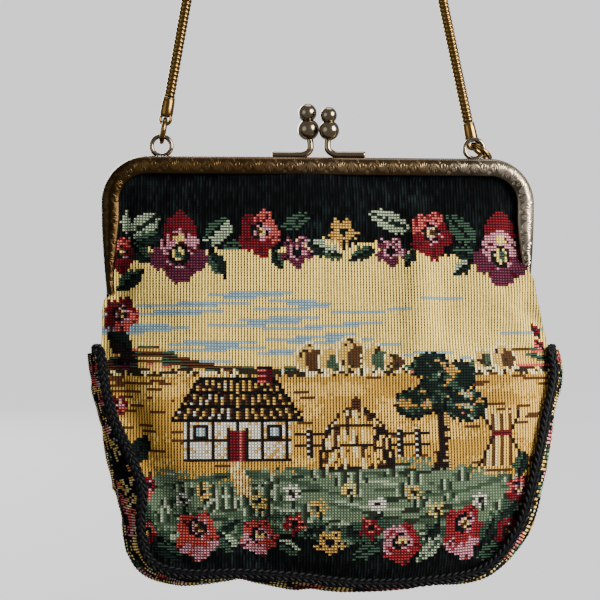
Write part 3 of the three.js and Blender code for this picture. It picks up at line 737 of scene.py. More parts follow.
# Reads a grid at places counted in its columns and rows
def readGrid(grid, u, v):
    i = np.clip(np.floor(u).astype(int), 0, grid.shape[1] - 2)
    j = np.clip(np.floor(v).astype(int), 0, grid.shape[0] - 2)
    a = (u - i)[..., None]
    b = (v - j)[..., None]
    upper = grid[j, i] * (1 - a) + grid[j, i + 1] * a
    lower = grid[j + 1, i] * (1 - a) + grid[j + 1, i + 1] * a
    return upper * (1 - b) + lower * b


# Threads, as 0 to 255
threads = dict(
    cream=(255, 220, 118), pale=(255, 234, 168), tan=(216, 170, 92), sky=(148, 178, 190), gold=(198, 150, 60),
    straw=(232, 186, 92), brown=(80, 48, 24), umber=(34, 22, 15), sage=(106, 128, 100), mint=(172, 188, 154),
    leaf=(58, 84, 64), bottle=(20, 37, 28), red=(118, 20, 30), rose=(162, 42, 46), rust=(194, 72, 62),
    coral=(218, 96, 86), wine=(84, 10, 24), purple=(102, 40, 62), pink=(220, 148, 160),
    blossom=(214, 160, 76), black=(3, 5, 5), white=(244, 238, 220),
)
# How a thread's stitches part: colour between them, the thread's own share in it, and how much shows
# between ribs and between rows
partings = dict(
    light=dict(gap=(38, 24, 10), own=0.0, rib=1.0, row=0.28),
    dark=dict(gap=(6, 5, 7), own=0.07, rib=0.85, row=1.0),
    ground=dict(gap=(0, 0, 1), own=0.0, rib=1.0, row=0.3),
    soft=dict(gap=(32, 29, 19), own=0.0, rib=0.85, row=0.75),
    banded=dict(gap=(5, 7, 9), own=0.0, rib=0.35, row=1.0),
)


# How far the edge of a motif strays, by turns up and down from rib to rib and at random
stray = dict(tooth=0.32, x=0.2, z=0.4)


# Stitches with their even and their ragged places, a chance for each, and what is woven there
def blankCloth(x, z, seed):
    chance = np.random.default_rng(seed)
    tooth = np.where(np.arange(x.shape[1]) % 2 == 0, stray["tooth"], -stray["tooth"])[None, :]
    raggedX = x + chance.uniform(-stray["x"], stray["x"], x.shape)
    raggedZ = z + tooth + chance.uniform(-stray["z"], stray["z"], x.shape)
    return dict(
        evenX=x, evenZ=z, x=raggedX, z=raggedZ, chance=chance.random(x.shape),
        colour=np.zeros((*x.shape, 3)), gap=np.zeros((*x.shape, 3)), rib=0 * x, row=0 * x,
    )


# Weaves a thread where it is wanted, or at a share of the stitches there
def paint(cloth, where, thread, parting="dark", share=1.0):
    where = where & (cloth["chance"] < share)
    style = partings[parting]
    cloth["colour"][where] = linear(threads[thread])
    cloth["gap"][where] = linear(style["gap"]) + style["own"] * linear(threads[thread])
    cloth["rib"][where] = style["rib"]
    cloth["row"][where] = style["row"]


# Place of the stitches in a motif: from -1 to 1 over its width and height, turned by an angle
def within(cloth, motif):
    x = cloth["x"] - motif["x"]
    z = cloth["z"] - motif["z"]
    turn = math.radians(motif["turn"])
    u = (x * math.cos(turn) + z * math.sin(turn)) / (motif["wide"] / 2)
    v = (z * math.cos(turn) - x * math.sin(turn)) / (motif["tall"] / 2)
    return u, v


def rose(cloth, motif):
    u, v = within(cloth, motif)
    far = np.hypot(u, v)
    angle = np.arctan2(v, u)
    lobed = far < 0.9 + 0.1 * np.cos(5 * angle + 0.6)
    paint(cloth, lobed, motif["thread"])
    lit = lobed & (np.cos(angle - math.radians(motif["light"])) > 0.35) & (far > 0.36)
    paint(cloth, lit, motif["lit"], share=0.85)
    paint(cloth, lobed & (np.abs(np.sin(2.5 * angle + 0.3)) < 0.16) & (far > 0.5), "wine", share=0.7)
    eyeU, eyeV = u - 0.04, (v - motif["eye"]) * motif["tall"] / motif["wide"]
    eye = np.hypot(eyeU, eyeV)
    left = eyeU < 0.1 * eyeV
    paint(cloth, (eye < 0.5) & ~left, "pink", share=0.6)
    paint(cloth, (eye < 0.44) & (left | (eye < 0.34)), "black")
    paint(cloth, (eye < 0.28) & ((cloth["chance"] < 0.8) | left), "pink")
    paint(cloth, eye < 0.2, "cream", "soft")
    paint(cloth, (eye < 0.12) | ((eye < 0.3) & (cloth["chance"] < 0.15)), "brown")


# Lower petals of a pansy: x, z, wide, tall
pansyLobes = [(-0.5, -0.3, 0.52, 0.36), (0.5, -0.34, 0.52, 0.38), (0.02, -0.62, 0.5, 0.38)]


def pansy(cloth, motif):
    u, v = within(cloth, motif)
    lobes = [np.hypot((u - x) / wide, (v - z) / tall) for x, z, wide, tall in pansyLobes]
    nearest, second = np.sort(lobes, axis=0)[:2]
    lower = nearest < 1
    paint(cloth, lower, "purple")
    paint(cloth, np.hypot(u / (0.7 - 0.2 * v), (v - 0.5) / 0.5) < 1, "red")
    blush = np.hypot(u / 0.68, (v - 0.06) / 0.42) < 1
    paint(cloth, blush, "pink", share=motif["blush"])
    paint(cloth, blush & (cloth["chance"] > 0.85), "wine")
    paint(cloth, np.hypot(u / 0.2, (v - 0.24) / 0.12) < 1, "cream", "soft")
    paint(cloth, lower & (second - nearest < 0.12) & (second > 0.5), "wine")
    eye = np.hypot(u, (v + 0.2) * motif["tall"] / motif["wide"])
    paint(cloth, (eye < 0.48) & lower, "pink", share=0.35)
    paint(cloth, eye < 0.36, "black")
    paint(cloth, eye < 0.23, "cream", "soft")
    paint(cloth, (eye < 0.12) | ((eye < 0.2) & (cloth["chance"] < 0.3)), "leaf")


def fivePetal(cloth, motif):
    u, v = within(cloth, motif)
    far = np.hypot(u, v)
    angle = np.arctan2(v, u)
    petals = far < 0.8 + 0.2 * np.cos(5 * angle + 1)
    paint(cloth, petals, motif["thread"])
    paint(cloth, petals & (np.cos(angle - 0.9) > 0.1), motif["lit"], share=0.6)
    paint(cloth, petals & (np.abs(np.sin(2.5 * angle + 0.5)) < 0.13) & (far > 0.5), "black")
    paint(cloth, far < 0.42, motif["lit"], share=0.7)
    paint(cloth, far < 0.26, "black")


# A leaf along its own length; banded ones show more of the ground between their rows
def leaf(cloth, motif):
    u, v = within(cloth, motif)
    inside = np.abs(v) < 1 - np.abs(u) ** 1.7
    parting = "banded" if motif["banded"] else "dark"
    paint(cloth, inside & (v > 0), motif["upper"], parting)
    paint(cloth, inside & (v <= 0), motif["lower"], parting)
    paint(cloth, inside & (np.abs(v) < 0.16) & (u > -0.9), motif["rib"], parting)


# Motifs by their middle, width and height in whole millimetres where they lie on the panel
def roseAt(x, z, wide, tall, light, thread="red", lit="coral", eye=0.08):
    size = dict(x=x, z=z, wide=wide, tall=tall, turn=0)
    return dict(size, kind=rose, light=light, thread=thread, lit=lit, eye=eye)


def pansyAt(x, z, wide, tall, blush=0.7):
    return dict(kind=pansy, x=x, z=z, wide=wide, tall=tall, turn=0, blush=blush)


def petalsAt(x, z, wide, tall, thread, lit, turn=0):
    return dict(kind=fivePetal, x=x, z=z, wide=wide, tall=tall, turn=turn, thread=thread, lit=lit)


def leafAt(x, z, wide, tall, turn, upper="leaf", lower="bottle", rib="black", banded=False):
    size = dict(x=x, z=z, wide=wide, tall=tall, turn=turn)
    return dict(size, kind=leaf, upper=upper, lower=lower, rib=rib, banded=banded)


garland = [
    leafAt(-84, -29, 11, 5, 90, "mint", "mint", "mint"),
    leafAt(-76, -30, 18, 10, 37, "mint", "mint", "bottle"),
    leafAt(-74, -36, 14, 6, 20, banded=True),
    roseAt(-86, -43, 12, 19, 100),
    leafAt(-77, -43, 10, 7, -40),
    pansyAt(-61, -40, 24, 31),
    leafAt(-45, -32, 16, 8, 42, "leaf", "mint", banded=True),
    leafAt(-43, -35, 14, 4, 42, "mint", "mint", "mint"),
    leafAt(-38, -39, 12, 4, 8, "leaf", "leaf", banded=True),
    leafAt(-45, -47, 14, 7, -58, "bottle", "leaf"),
    roseAt(-27, -34, 19, 21, 40),
    leafAt(-11, -29, 17, 6, 28, "leaf", "leaf", banded=True),
    leafAt(-19, -45, 11, 5, -62),
    petalsAt(-11, -42, 15, 15, "purple", "pink"),
    leafAt(-1, -40, 13, 7, -35, "mint", "bottle"),
    leafAt(4, -42, 11, 6, -15, "mint", "leaf"),
    petalsAt(9, -33, 15, 14, "blossom", "straw"),
    leafAt(18, -42, 14, 6, 28),
    leafAt(30, -28, 22, 9, -22, "mint", "mint", "bottle"),
    petalsAt(30, -41, 15, 14, "purple", "pink"),
    leafAt(38, -44, 9, 5, 65),
    roseAt(48, -34, 20, 23, 110),
    leafAt(62, -32, 20, 9, -50, "leaf", "leaf", banded=True),
    leafAt(63, -42, 14, 6, -12, banded=True),
    leafAt(62, -48, 12, 6, 38, "mint", "bottle"),
    pansyAt(79, -40, 25, 33, blush=0.9),
]
border = [
    leafAt(-82, -54, 16, 8, 35),
    roseAt(-86, -69, 17, 17, -50),
    leafAt(-86, -81, 15, 10, -35, "bottle", "umber"),
    leafAt(-84, -89, 12, 6, 10, "umber", "purple"),
    roseAt(-87, -107, 8, 9, -90),
    leafAt(-78, -126, 15, 9, 62, "bottle", "bottle"),
    roseAt(-75, -141, 8, 11, -60),
    roseAt(-75, -160, 9, 11, 60),
    leafAt(85, -133, 12, 8, 70),
    roseAt(84, -144, 13, 13, 120),
    leafAt(95, -76, 8, 4, -50, "red", "wine"),
    leafAt(96, -82, 9, 4, -40, "red", "coral"),
    leafAt(79, -152, 12, 6, 35),
    roseAt(79, -162, 12, 14, -40),
]
hem = [
    leafAt(-66, -168, 16, 7, -28, banded=True),
    roseAt(-54, -161, 20, 23, -80, "rust", "pink", eye=0.3),
    leafAt(-41, -157, 12, 5, 30),
    leafAt(-41, -164, 13, 7, -50, "mint", "leaf"),
    roseAt(-28, -162, 17, 17, -130, "rust", "pink"),
    leafAt(-15, -166, 13, 6, -30, "mint", "leaf"),
    petalsAt(-13, -156, 11, 11, "red", "coral"),
    leafAt(-4, -158, 11, 6, 20),
    petalsAt(2, -164, 14, 12, "blossom", "straw"),
    leafAt(12, -159, 9, 6, -40),
    petalsAt(19, -158, 11, 11, "red", "coral"),
    leafAt(17, -168, 15, 6, 22, "leaf", "leaf", banded=True),
    roseAt(32, -165, 18, 19, 150, "rose", "pink"),
    leafAt(45, -160, 10, 6, 50),
    leafAt(44, -168, 15, 6, 45, "mint", "mint", "leaf"),
    roseAt(59, -161, 20, 25, -90, "rose", "pink", eye=0.3),
    leafAt(70, -161, 13, 7, 65),
    leafAt(71, -170, 14, 7, 35, "leaf", "leaf", banded=True),
]
# Lower edge of the black ground at the top, upper edges of the meadow and of the black ground at the hem
groundLines = dict(
    top=[
        (-95, -46), (-74, -40), (-50, -41), (-18, -41), (-10, -36), (3, -36), (10, -39), (27, -36), (38, -41),
        (93, -45),
    ],
    meadow=[
        (-82, -138), (-69, -133), (-53, -135), (-28, -133), (2, -132), (25, -128), (49, -130), (75, -136),
        (94, -141),
    ],
    hem=[
        (-82, -152), (-67, -163), (-46, -167), (-17, -160), (8, -166), (23, -163), (38, -169), (66, -165),
        (93, -146),
    ],
)
horizon = -93


def lineAt(name, x):
    return np.interp(x, *np.array(groundLines[name], float).T)


# Stitches counted to the right of and up from one of the panel's stitches
def charted(cloth, column, row):
    i = np.floor(cloth["evenX"] / panelSize["pitchX"] + 1e-6) - column
    j = np.floor(cloth["evenZ"] / panelSize["pitchZ"] + 1e-6) + row
    return i.astype(int), j.astype(int)


# Long thin clouds: level, a little rising, their ends tapering to a single row; more and thicker to the left
clouds = dict(count=28, top=-60, apart=1.15, rise=0.035, thin=0.62, seed=8)
# Dashes in the field, closer together at the far left and at the right
furrows = dict(rows=200, columns=60, length=6.4, slant=2.3, share=0.95, seed=15)


def skyAndField(cloth):
    x, z = cloth["evenX"], cloth["evenZ"]
    paint(cloth, np.ones(x.shape, bool), "cream", "light")
    chance = np.random.default_rng(clouds["seed"])
    for number in range(clouds["count"]):
        middleX = chance.uniform(-92, 95)
        middleZ = clouds["top"] - clouds["apart"] * number
        leftward = float(smoothstep(10, -60, middleX))
        thick = clouds["thin"] + chance.uniform(0.1, 1.5) * leftward
        half = (chance.uniform(22, 44) + 16 * leftward) / 2
        away = np.abs(z - middleZ - clouds["rise"] * (x - middleX))
        share = (x - middleX) / half
        paint(cloth, (away < thick * (1 - share**2)) & (np.abs(share) < 1), "sky", "soft")
    field = z < horizon
    paint(cloth, field, "gold", "light")
    paint(cloth, field & (patches(x, z, 20, 5, 11) + 0.3 * cloth["chance"] > 0.8), "straw", "light")
    lattice = np.random.default_rng(furrows["seed"]).random((furrows["rows"], furrows["columns"]))
    row = np.arange(x.shape[0])[:, None]
    column = np.floor((x + furrows["slant"] * row) / furrows["length"]).astype(int)
    dash = lattice[row % furrows["rows"], column % furrows["columns"]]
    atLeft = 0.3 * smoothstep(-58, -84, x) * smoothstep(-128, -98, z)
    atRight = 0.12 * smoothstep(56, 88, x)
    paint(cloth, field & (dash > furrows["share"] - atLeft - atRight), "brown", "light")


# Trees along the horizon: middle, wide, tall
farTrees = [(-6, 10, 12), (3, 9, 10), (12, 11, 14), (22, 10, 11), (30, 8, 8), (70, 9, 9), (79, 10, 11)]


def farCountry(cloth):
    x, z = cloth["x"], cloth["z"]
    ridge = horizon + 3 + 8 * np.exp(-(((x + 74) / 17) ** 2)) + 7 * np.exp(-(((x - 90) / 22) ** 2))
    hill = (cloth["evenZ"] < ridge) & (z >= horizon)
    paint(cloth, hill, "straw", "light")
    band = patches(x, cloth["evenZ"] - 0.35 * ridge, 16, 1.3, 9)
    paint(cloth, hill & (band > 0.52), "leaf", "banded")
    paint(cloth, hill & (band > 0.74), "brown", "banded")
    paint(cloth, hill & (band < 0.2), "coral", "soft")
    for number, (middle, wide, tall) in enumerate(farTrees):
        u = (x - middle) / (wide / 2)
        v = (z - horizon - tall / 2) / (tall / 2)
        far = np.hypot(u, v * 0.95)
        crest = far < 1
        paint(cloth, far < 1.2, "pale", "light")
        paint(cloth, crest, "straw", "soft")
        shade = np.hypot(u - 0.45, v + 0.1) < 0.75
        paint(cloth, crest & shade, "leaf" if number % 2 else "brown", "soft")
        paint(cloth, crest & (patches(x, z, 2.2, 2.2, 19) > 0.78), "umber", "soft")
    base = np.abs(z - horizon) < 1.5
    paint(cloth, base, "pale", "light", share=0.5)
    paint(cloth, base & (patches(x, z, 2.5, 1, 21) > 0.5), "umber", "soft")


# The cottage is charted in stitches counted from the middle of its base
cottage = dict(
    column=-29, row=111, half=17, wall=15, roof=15, eaves=4, pitch=0.6, post=8, beam=7, windows=(-12, 12),
    windowRow=10, door=3, doorTop=11, chimney=9, chimneyTop=4,
)


def house(cloth):
    size = cottage
    i, j = charted(cloth, size["column"], size["row"])
    across = np.abs(i)
    half, wallTop, roofTop = size["half"], size["wall"], size["wall"] + size["roof"]
    wall = (across <= half) & (j >= 0) & (j < wallTop)
    paint(cloth, wall, "white", "soft")
    paint(cloth, wall & (cloth["chance"] < 0.16 + 0.3 * (i > half / 2)), "tan", "soft")
    paint(cloth, wall & ((across % size["post"] == 0) | (j == 0) | (j == size["beam"])), "umber")
    for middle in size["windows"]:
        away = np.maximum(np.abs(i - middle), np.abs(j - size["windowRow"]))
        paint(cloth, away < 3, "umber")
        paint(cloth, away < 2, "sky", "soft")
        paint(cloth, (away < 2) & (i == middle), "white", "soft")
    door = (across < size["door"]) & (j >= 0) & (j < size["doorTop"])
    paint(cloth, door, "red")
    paint(cloth, door & (i == 1), "coral")
    paint(cloth, (across == size["door"]) & (j <= size["doorTop"]) & wall, "umber")
    rise = j - wallTop + 1
    slope = half + size["eaves"] - np.floor(rise * size["pitch"])
    roof = (rise >= 0) & (j < roofTop) & (across <= slope)
    paint(cloth, roof, "umber")
    reed = np.round(i * (1 + 0.035 * rise)) % 3
    paint(cloth, roof & (reed == 0), "straw")
    paint(cloth, roof & (reed == 1), "brown", share=0.7)
    paint(cloth, roof & (reed == 0) & (i < -2), "white", share=0.35)
    paint(cloth, roof & ((rise + (across % 6 == 0)) % 5 == 0), "black")
    paint(cloth, roof & ((rise == 0) | (j == roofTop - 1) | (across == slope)), "black")
    potTop = roofTop + size["chimneyTop"]
    chimney = (np.abs(i - size["chimney"]) < 3) & (j >= roofTop - 2) & (j < potTop)
    paint(cloth, chimney, "wine")
    paint(cloth, chimney & (i <= size["chimney"]) & (j % 2 == 0), "coral")
    paint(cloth, chimney & (j == potTop - 1), "black")


tree = dict(x=50, base=-134, trunk=4.5, tall=30, root=3.2, lean=0.06)
# Boughs of the crown: x, z, wide, tall
crown = [(50, -101, 22, 20), (39, -106, 18, 14), (61, -107, 20, 15), (46, -91, 18, 13), (58, -95, 16, 14)]


def bigTree(cloth):
    x, z = cloth["x"], cloth["z"]
    rise = z - tree["base"]
    lean = tree["x"] + tree["lean"] * rise
    width = tree["trunk"] / 2 + tree["root"] * np.exp(-rise / 3)
    trunk = (np.abs(x - lean) < width) & (rise > 0) & (rise < tree["tall"])
    paint(cloth, trunk, "umber")
    paint(cloth, trunk & (x > lean + 0.3), "tan", share=0.55)
    for number, (middleX, middleZ, wide, tall) in enumerate(crown):
        u = (x - middleX) / (wide / 2)
        v = (z - middleZ) / (tall / 2)
        far = np.hypot(u, v) + 0.16 * patches(x, z, 2.6, 2.6, 41)
        paint(cloth, far < 1.04, "black")
        paint(cloth, far < 0.95, "bottle")
        sprig = patches(x + z, z, 3.4, 2.2, 43 + number)
        paint(cloth, (far < 0.95) & (sprig > 0.5), "leaf")
        paint(cloth, (far < 0.9) & (sprig > 0.62) & (v > -0.3), "blossom")
        paint(cloth, (far < 0.85) & (sprig > 0.8) & (u > -0.2), "mint", "soft")
    fruit = patches(x, z, 2.3, 2.3, 51) > 0.93
    paint(cloth, fruit & (np.hypot((x - tree["x"]) / 20, (z + 101) / 14) < 1), "coral")


fence = dict(row=110, left=-11, right=35, rails=(4, 8), posts=6, tall=11)
hay = dict(column=10, row=114, half=12, tall=22, bands=(8, 15))
stook = dict(column=59, row=114, waist=11, tall=19)


def fenceAndHay(cloth):
    i, j = charted(cloth, 0, fence["row"])
    stretch = (i > fence["left"]) & (i < fence["right"])
    paint(cloth, stretch & np.isin(j, fence["rails"]), "umber")
    post = stretch & (i % fence["posts"] == 0) & (j > -1) & (j < fence["tall"])
    shadow = stretch & (i % fence["posts"] == 1) & (j > -1) & (j < fence["tall"] - 1)
    paint(cloth, post | shadow, "umber")
    paint(cloth, post & (j % 2 == 0), "white")
    straws = np.random.default_rng(33).random((60, 120))
    i, j = charted(cloth, hay["column"], hay["row"])
    share = np.clip(j / hay["tall"], 0, 1)
    edge = np.round(hay["half"] * (1 - share**2.2) ** 0.6)
    body = (j >= 0) & (j < hay["tall"]) & (np.abs(i) <= edge)
    lean = np.round(i * (1 + 0.6 * share)).astype(int)
    straw = straws[(j + 2 * lean) // 4 % 60, lean % 120]
    side = i / (edge + 1)
    paint(cloth, body, "gold", "light")
    paint(cloth, body & (straw > 0.5), "straw", "light")
    paint(cloth, body & (straw > 0.72) & (side < 0.2), "pale", "soft")
    paint(cloth, body & (straw < 0.18 + 0.45 * smoothstep(0.1, 0.9, side)), "brown")
    paint(cloth, body & (straw < 0.5 * smoothstep(0.4, 1.0, side)), "umber")
    sag = np.round(0.02 * i**2)
    paint(cloth, body & np.isin(j + sag, hay["bands"]), "umber")
    paint(cloth, body & ((np.abs(i) == edge) | ((j == 0) & (straw < 0.6))), "umber")
    paint(cloth, (np.abs(i) < 2) & (j >= hay["tall"] - 1) & (j < hay["tall"] + 4 - np.abs(i)), "brown")
    i, j = charted(cloth, stook["column"], stook["row"])
    edge = np.round(3 + 0.42 * np.abs(j - stook["waist"]))
    ragged = straws[0, i % 120] * 4
    sheaf = (j >= 0) & (j < stook["tall"] - 2 + ragged) & (np.abs(i) <= edge)
    paint(cloth, sheaf, "straw", "light")
    paint(cloth, sheaf & (i % 3 == 0), "brown", "light")
    paint(cloth, sheaf & (i % 3 == 1) & (i < 1), "pale", "soft")
    paint(cloth, sheaf & (np.abs(i) == edge), "umber")
    paint(cloth, sheaf & ((j == stook["waist"]) | (j == stook["waist"] + 1)), "red")


footpath = dict(x=-37, top=-129, bottom=-152, bend=0.02, half=2.6, widens=0.08)
tufts = dict(count=54, seed=67, blades=("bottle", "mint", "leaf"))
# Blossoms in the grass
stars = [
    (-60, -146), (-51, -142), (-28, -147), (-14, -143), (-3, -149), (10, -142), (22, -148), (37, -144),
    (47, -151), (66, -147),
]


def meadow(cloth):
    x, z = cloth["x"], cloth["z"]
    edge = lineAt("meadow", x)
    grass = z < edge
    paint(cloth, grass & (cloth["chance"] > 0.4 * smoothstep(-6, 0, z - edge)), "sage", "soft")
    wave = patches(x, cloth["evenZ"] + 5 * np.sin(x * 0.05), 18, 1.6, 61)
    paint(cloth, grass & (wave > 0.8), "mint", "soft")
    paint(cloth, grass & (wave < 0.3), "leaf", "soft")
    paint(cloth, grass & (patches(x, cloth["evenZ"], 8, 1.2, 63) > 0.76), "bottle", "soft")
    below = z - footpath["top"]
    middle = footpath["x"] + footpath["bend"] * below**2
    way = np.abs(x - middle) < footpath["half"] - footpath["widens"] * below
    way = way & (below < 0) & (z > footpath["bottom"])
    paint(cloth, way, "tan", "light")
    paint(cloth, way, "pale", "light", share=0.3)
    chance = np.random.default_rng(tufts["seed"])
    for number in range(tufts["count"]):
        tuftX, tuftZ = chance.uniform(-76, 88), chance.uniform(-156, -136)
        tall = chance.uniform(3, 6)
        for blade in range(-2, 3):
            bladeX = tuftX + 1.3 * blade + 0.3 * blade * (z - tuftZ) / tall
            stroke = grass & (np.abs(cloth["evenX"] - bladeX) < 0.66) & (z > tuftZ)
            thread = tufts["blades"][(number + blade) % 3]
            paint(cloth, stroke & (z < tuftZ + tall - abs(blade)), thread, "soft")
    deep = grass & (z < lineAt("hem", x) + 9) & (patches(x, z, 6, 4, 65) > 0.5)
    paint(cloth, deep, "leaf")
    for number, (starX, starZ) in enumerate(stars):
        away = np.hypot(x - starX, (z - starZ) * 1.1)
        petals = (away < 3.6) & (np.abs(np.sin(3 * np.arctan2(z - starZ, x - starX))) > 0.45)
        paint(cloth, petals, ("white", "straw", "cream")[number % 3])
        paint(cloth, away < 1.2, "umber")
        paint(cloth, (np.abs(x - starX - 1) < 0.7) & (z < starZ - 2.5) & (z > starZ - 6), "bottle")


# Uneven dye of the threads, and light flecks in the black ones that are partly uneven dye and partly painted
# sheen
panelDye = dict(least=0.9, streaks=0.12, stitches=0.1, blackLeast=0.1, flecksAndSheen=14.0, seed=17)


def panelCloth(x, z):
    dye = panelDye
    cloth = blankCloth(x, z, dye["seed"])
    for weave in (skyAndField, farCountry, meadow, bigTree, house, fenceAndHay):
        weave(cloth)
    paint(cloth, cloth["z"] > lineAt("top", cloth["x"]), "black", "ground")
    paint(cloth, cloth["z"] < lineAt("hem", cloth["x"]), "black", "ground")
    for motif in garland + border + hem:
        motif["kind"](cloth, motif)
    dyed = dye["least"] + dye["streaks"] * patches(x, z, 2.1, 90, 27) + dye["stitches"] * cloth["chance"]
    # Flecks in the black threads: random dye together with painted sheen on the black yarn
    fleckAndSheen = patches(x, z, panelSize["pitchX"], 3, 28) * (0.4 + 0.6 * patches(x, z, 16, 16, 29))
    black = cloth["colour"].sum(2) < 0.02
    cloth["colour"] *= np.where(black, dye["blackLeast"] + dye["flecksAndSheen"] * fleckAndSheen**2, dyed)[..., None]
    return cloth


gussetCloth = dict(blossoms=360, pitchAlong=1.28, pitchAcross=1.25, across=36, simAcross=10, seed=23)
# Thread and lit thread of each kind of blossom
gussetKinds = [
    ("straw", "pale"), ("red", "coral"), ("tan", "pale"), ("leaf", "mint"), ("straw", "cream"),
    ("coral", "pink"),
]


# Small blossoms close together on black, drawn out along (x) the strip
def scatteredCloth(x, z):
    cloth = blankCloth(x, z, gussetCloth["seed"])
    chance = np.random.default_rng(gussetCloth["seed"])
    paint(cloth, np.ones(x.shape, bool), "black", "ground")
    streak = patches(x, z, 7, gussetCloth["pitchAcross"], 71)
    paint(cloth, streak > 0.6, "straw", "banded")
    paint(cloth, streak > 0.76, "pale", "banded")
    for number in range(gussetCloth["blossoms"]):
        thread, lit = gussetKinds[number % len(gussetKinds)]
        size = chance.uniform(4, 7)
        place = (chance.uniform(x.min(), x.max()), chance.uniform(z.min(), z.max()), size * 1.7, size * 0.8)
        turn = chance.uniform(-25, 25)
        if number % 3:
            leaf(cloth, leafAt(*place, turn, thread, lit, banded=True))
        else:
            fivePetal(cloth, petalsAt(*place, thread, lit, turn))
    return cloth


clothFinish = dict(
    roughness=0.88, sheen=0.02, specular=0.05, relief=0.8, reliefDeep=0.0003, fuzz=900.0, tint=(0.72, 1.28),
    lean=0.1, threadHalf=0.08, partingHalf=0.4, beaded=0.75,
)
liningFinish = dict(scale=700.0, roughness=0.9, tones=[(0.3, (120, 104, 80)), (0.7, (168, 150, 120))])


# Woven threads: stitch colours come from the mesh, their partings from the thread count in its weave map
def wovenMaterial(name):
    look = clothFinish
    material, shader = newMaterial(name)
    stitch = addNode(material, "ShaderNodeAttribute", attribute_name="stitch").outputs
    gap = addNode(material, "ShaderNodeAttribute", attribute_name="gap").outputs
    weave = addNode(material, "ShaderNodeUVMap", uv_map="weave").outputs["UV"]
    split = addNode(material, "ShaderNodeSeparateXYZ", {0: weave}).outputs
    lean = maths(material, "MULTIPLY", maths(material, "FRACT", split["Y"]), look["lean"])
    edges = []
    for place in (maths(material, "ADD", split["X"], lean), split["Y"]):
        middle = maths(material, "SUBTRACT", maths(material, "FRACT", place), 0.5)
        span = (look["threadHalf"], look["partingHalf"])
        away = maths(material, "ABSOLUTE", middle)
        edges.append(mapped(material, away, span, interpolation_type="SMOOTHSTEP"))
    ribGap = maths(material, "MULTIPLY", edges[0], stitch["Alpha"])
    rowGap = maths(material, "MULTIPLY", edges[1], gap["Alpha"])
    beaded = mapped(material, edges[1], (0.0, 1.0), (1.0, look["beaded"]))
    parting = maths(material, "MAXIMUM", maths(material, "MULTIPLY", ribGap, beaded), rowGap)
    colour = mixed(material, parting, stitch["Color"], gap["Color"])
    tint = mapped(material, noise(material, look["fuzz"]), (0.0, 1.0), look["tint"])
    tinted = addNode(material, "ShaderNodeVectorMath", {0: colour, "Scale": tint}, operation="SCALE")
    height = maths(material, "SUBTRACT", 1.0, parting)
    plug(material, shader, {
        "Base Color": tinted.outputs["Vector"],
        "Normal": bump(material, height, look["reliefDeep"], look["relief"]),
        "Roughness": look["roughness"],
        "Sheen Weight": look["sheen"],
        "Specular IOR Level": look["specular"],
    })
    return material


def liningMaterial():
    material, shader = newMaterial("lining")
    colour = ramp(material, noise(material, liningFinish["scale"]), liningFinish["tones"])
    plug(material, shader, {"Base Color": colour, "Roughness": liningFinish["roughness"]})
    return material


tapestry = wovenMaterial("tapestry")
gussetWeave = wovenMaterial("gussetWeave")
lining = liningMaterial()


# A closed sheet of stitches: each cell of the outer grid rises to its own middle, and the inner one lines it
def wovenSheet(name, outer, inner, cloth, material):
    kept, numbers = mergedPoints(outer)
    count = len(kept)
    under = np.zeros_like(kept)
    under[numbers.ravel()] = inner.reshape(-1, 3)
    cells = gridCells(numbers)
    corners = kept[cells]
    normal = unit(np.cross(corners[:, 2] - corners[:, 0], corners[:, 3] - corners[:, 1]))
    away = np.sign(((outer - inner).reshape(-1, 3).mean(0) * normal.mean(0)).sum())
    chance = np.random.default_rng(stitchRise["seed"])
    rise = chance.uniform(stitchRise["least"], stitchRise["most"], (len(cells), 1))
    middles = corners.mean(1) + normal * away * stitchRise["height"] * rise
    column, row = np.meshgrid(np.arange(outer.shape[1] - 1), np.arange(outer.shape[0] - 1))
    origin = np.stack((column.ravel(), row.ravel()), 1)
    offsets = np.array(((0, 0), (1, 0), (1, 1), (0, 1)))
    distinct = np.array([len(set(cell)) for cell in cells.tolist()])
    triangles, places, owner = [], [], []
    for side in range(4):
        after = (side + 1) % 4
        which = np.flatnonzero((distinct > 2) & (cells[:, side] != cells[:, after]))
        start = origin[which]
        triangles.append(np.stack((cells[which, side], cells[which, after], 2 * count + which), 1))
        places.append(np.stack((start + offsets[side], start + offsets[after], start + 0.5), 1))
        owner.append(which)
    triangles = np.vstack(triangles)
    owner = np.concatenate(owner)
    flatFaces = plainFaces(cells)
    backing = [[count + corner for corner in face[::-1]] for face in flatFaces]
    backing += [[b, a, count + a, count + b] for a, b in openEdges(flatFaces, count).tolist()]
    points = inMetres(np.vstack((kept, under, middles)))
    mesh = bpy.data.meshes.new(name)
    mesh.from_pydata(points.tolist(), [], triangles.tolist() + backing, shade_flat=False)
    loops, stitchLoops = len(mesh.loops), len(triangles) * 3
    weave = np.zeros((loops, 2))
    weave[:stitchLoops] = np.vstack(places).reshape(-1, 2)
    mesh.uv_layers.new(name="weave").data.foreach_set("uv", weave.ravel())
    for layer, colour, strength in (("stitch", "colour", "rib"), ("gap", "gap", "row")):
        values = np.zeros((loops, 4))
        perCell = np.column_stack((cloth[colour].reshape(-1, 3), cloth[strength].reshape(-1)))
        values[:stitchLoops] = np.repeat(perCell[owner], 3, axis=0)
        mesh.attributes.new(layer, "FLOAT_COLOR", "CORNER").data.foreach_set("color", values.ravel())
    mesh.materials.append(material)
    mesh.materials.append(lining)
    index = np.ones(len(mesh.polygons), int)
    index[:len(triangles)] = 0
    mesh.polygons.foreach_set("material_index", index)
    print(name, len(triangles), "stitch faces")
    return addObject(name, mesh)


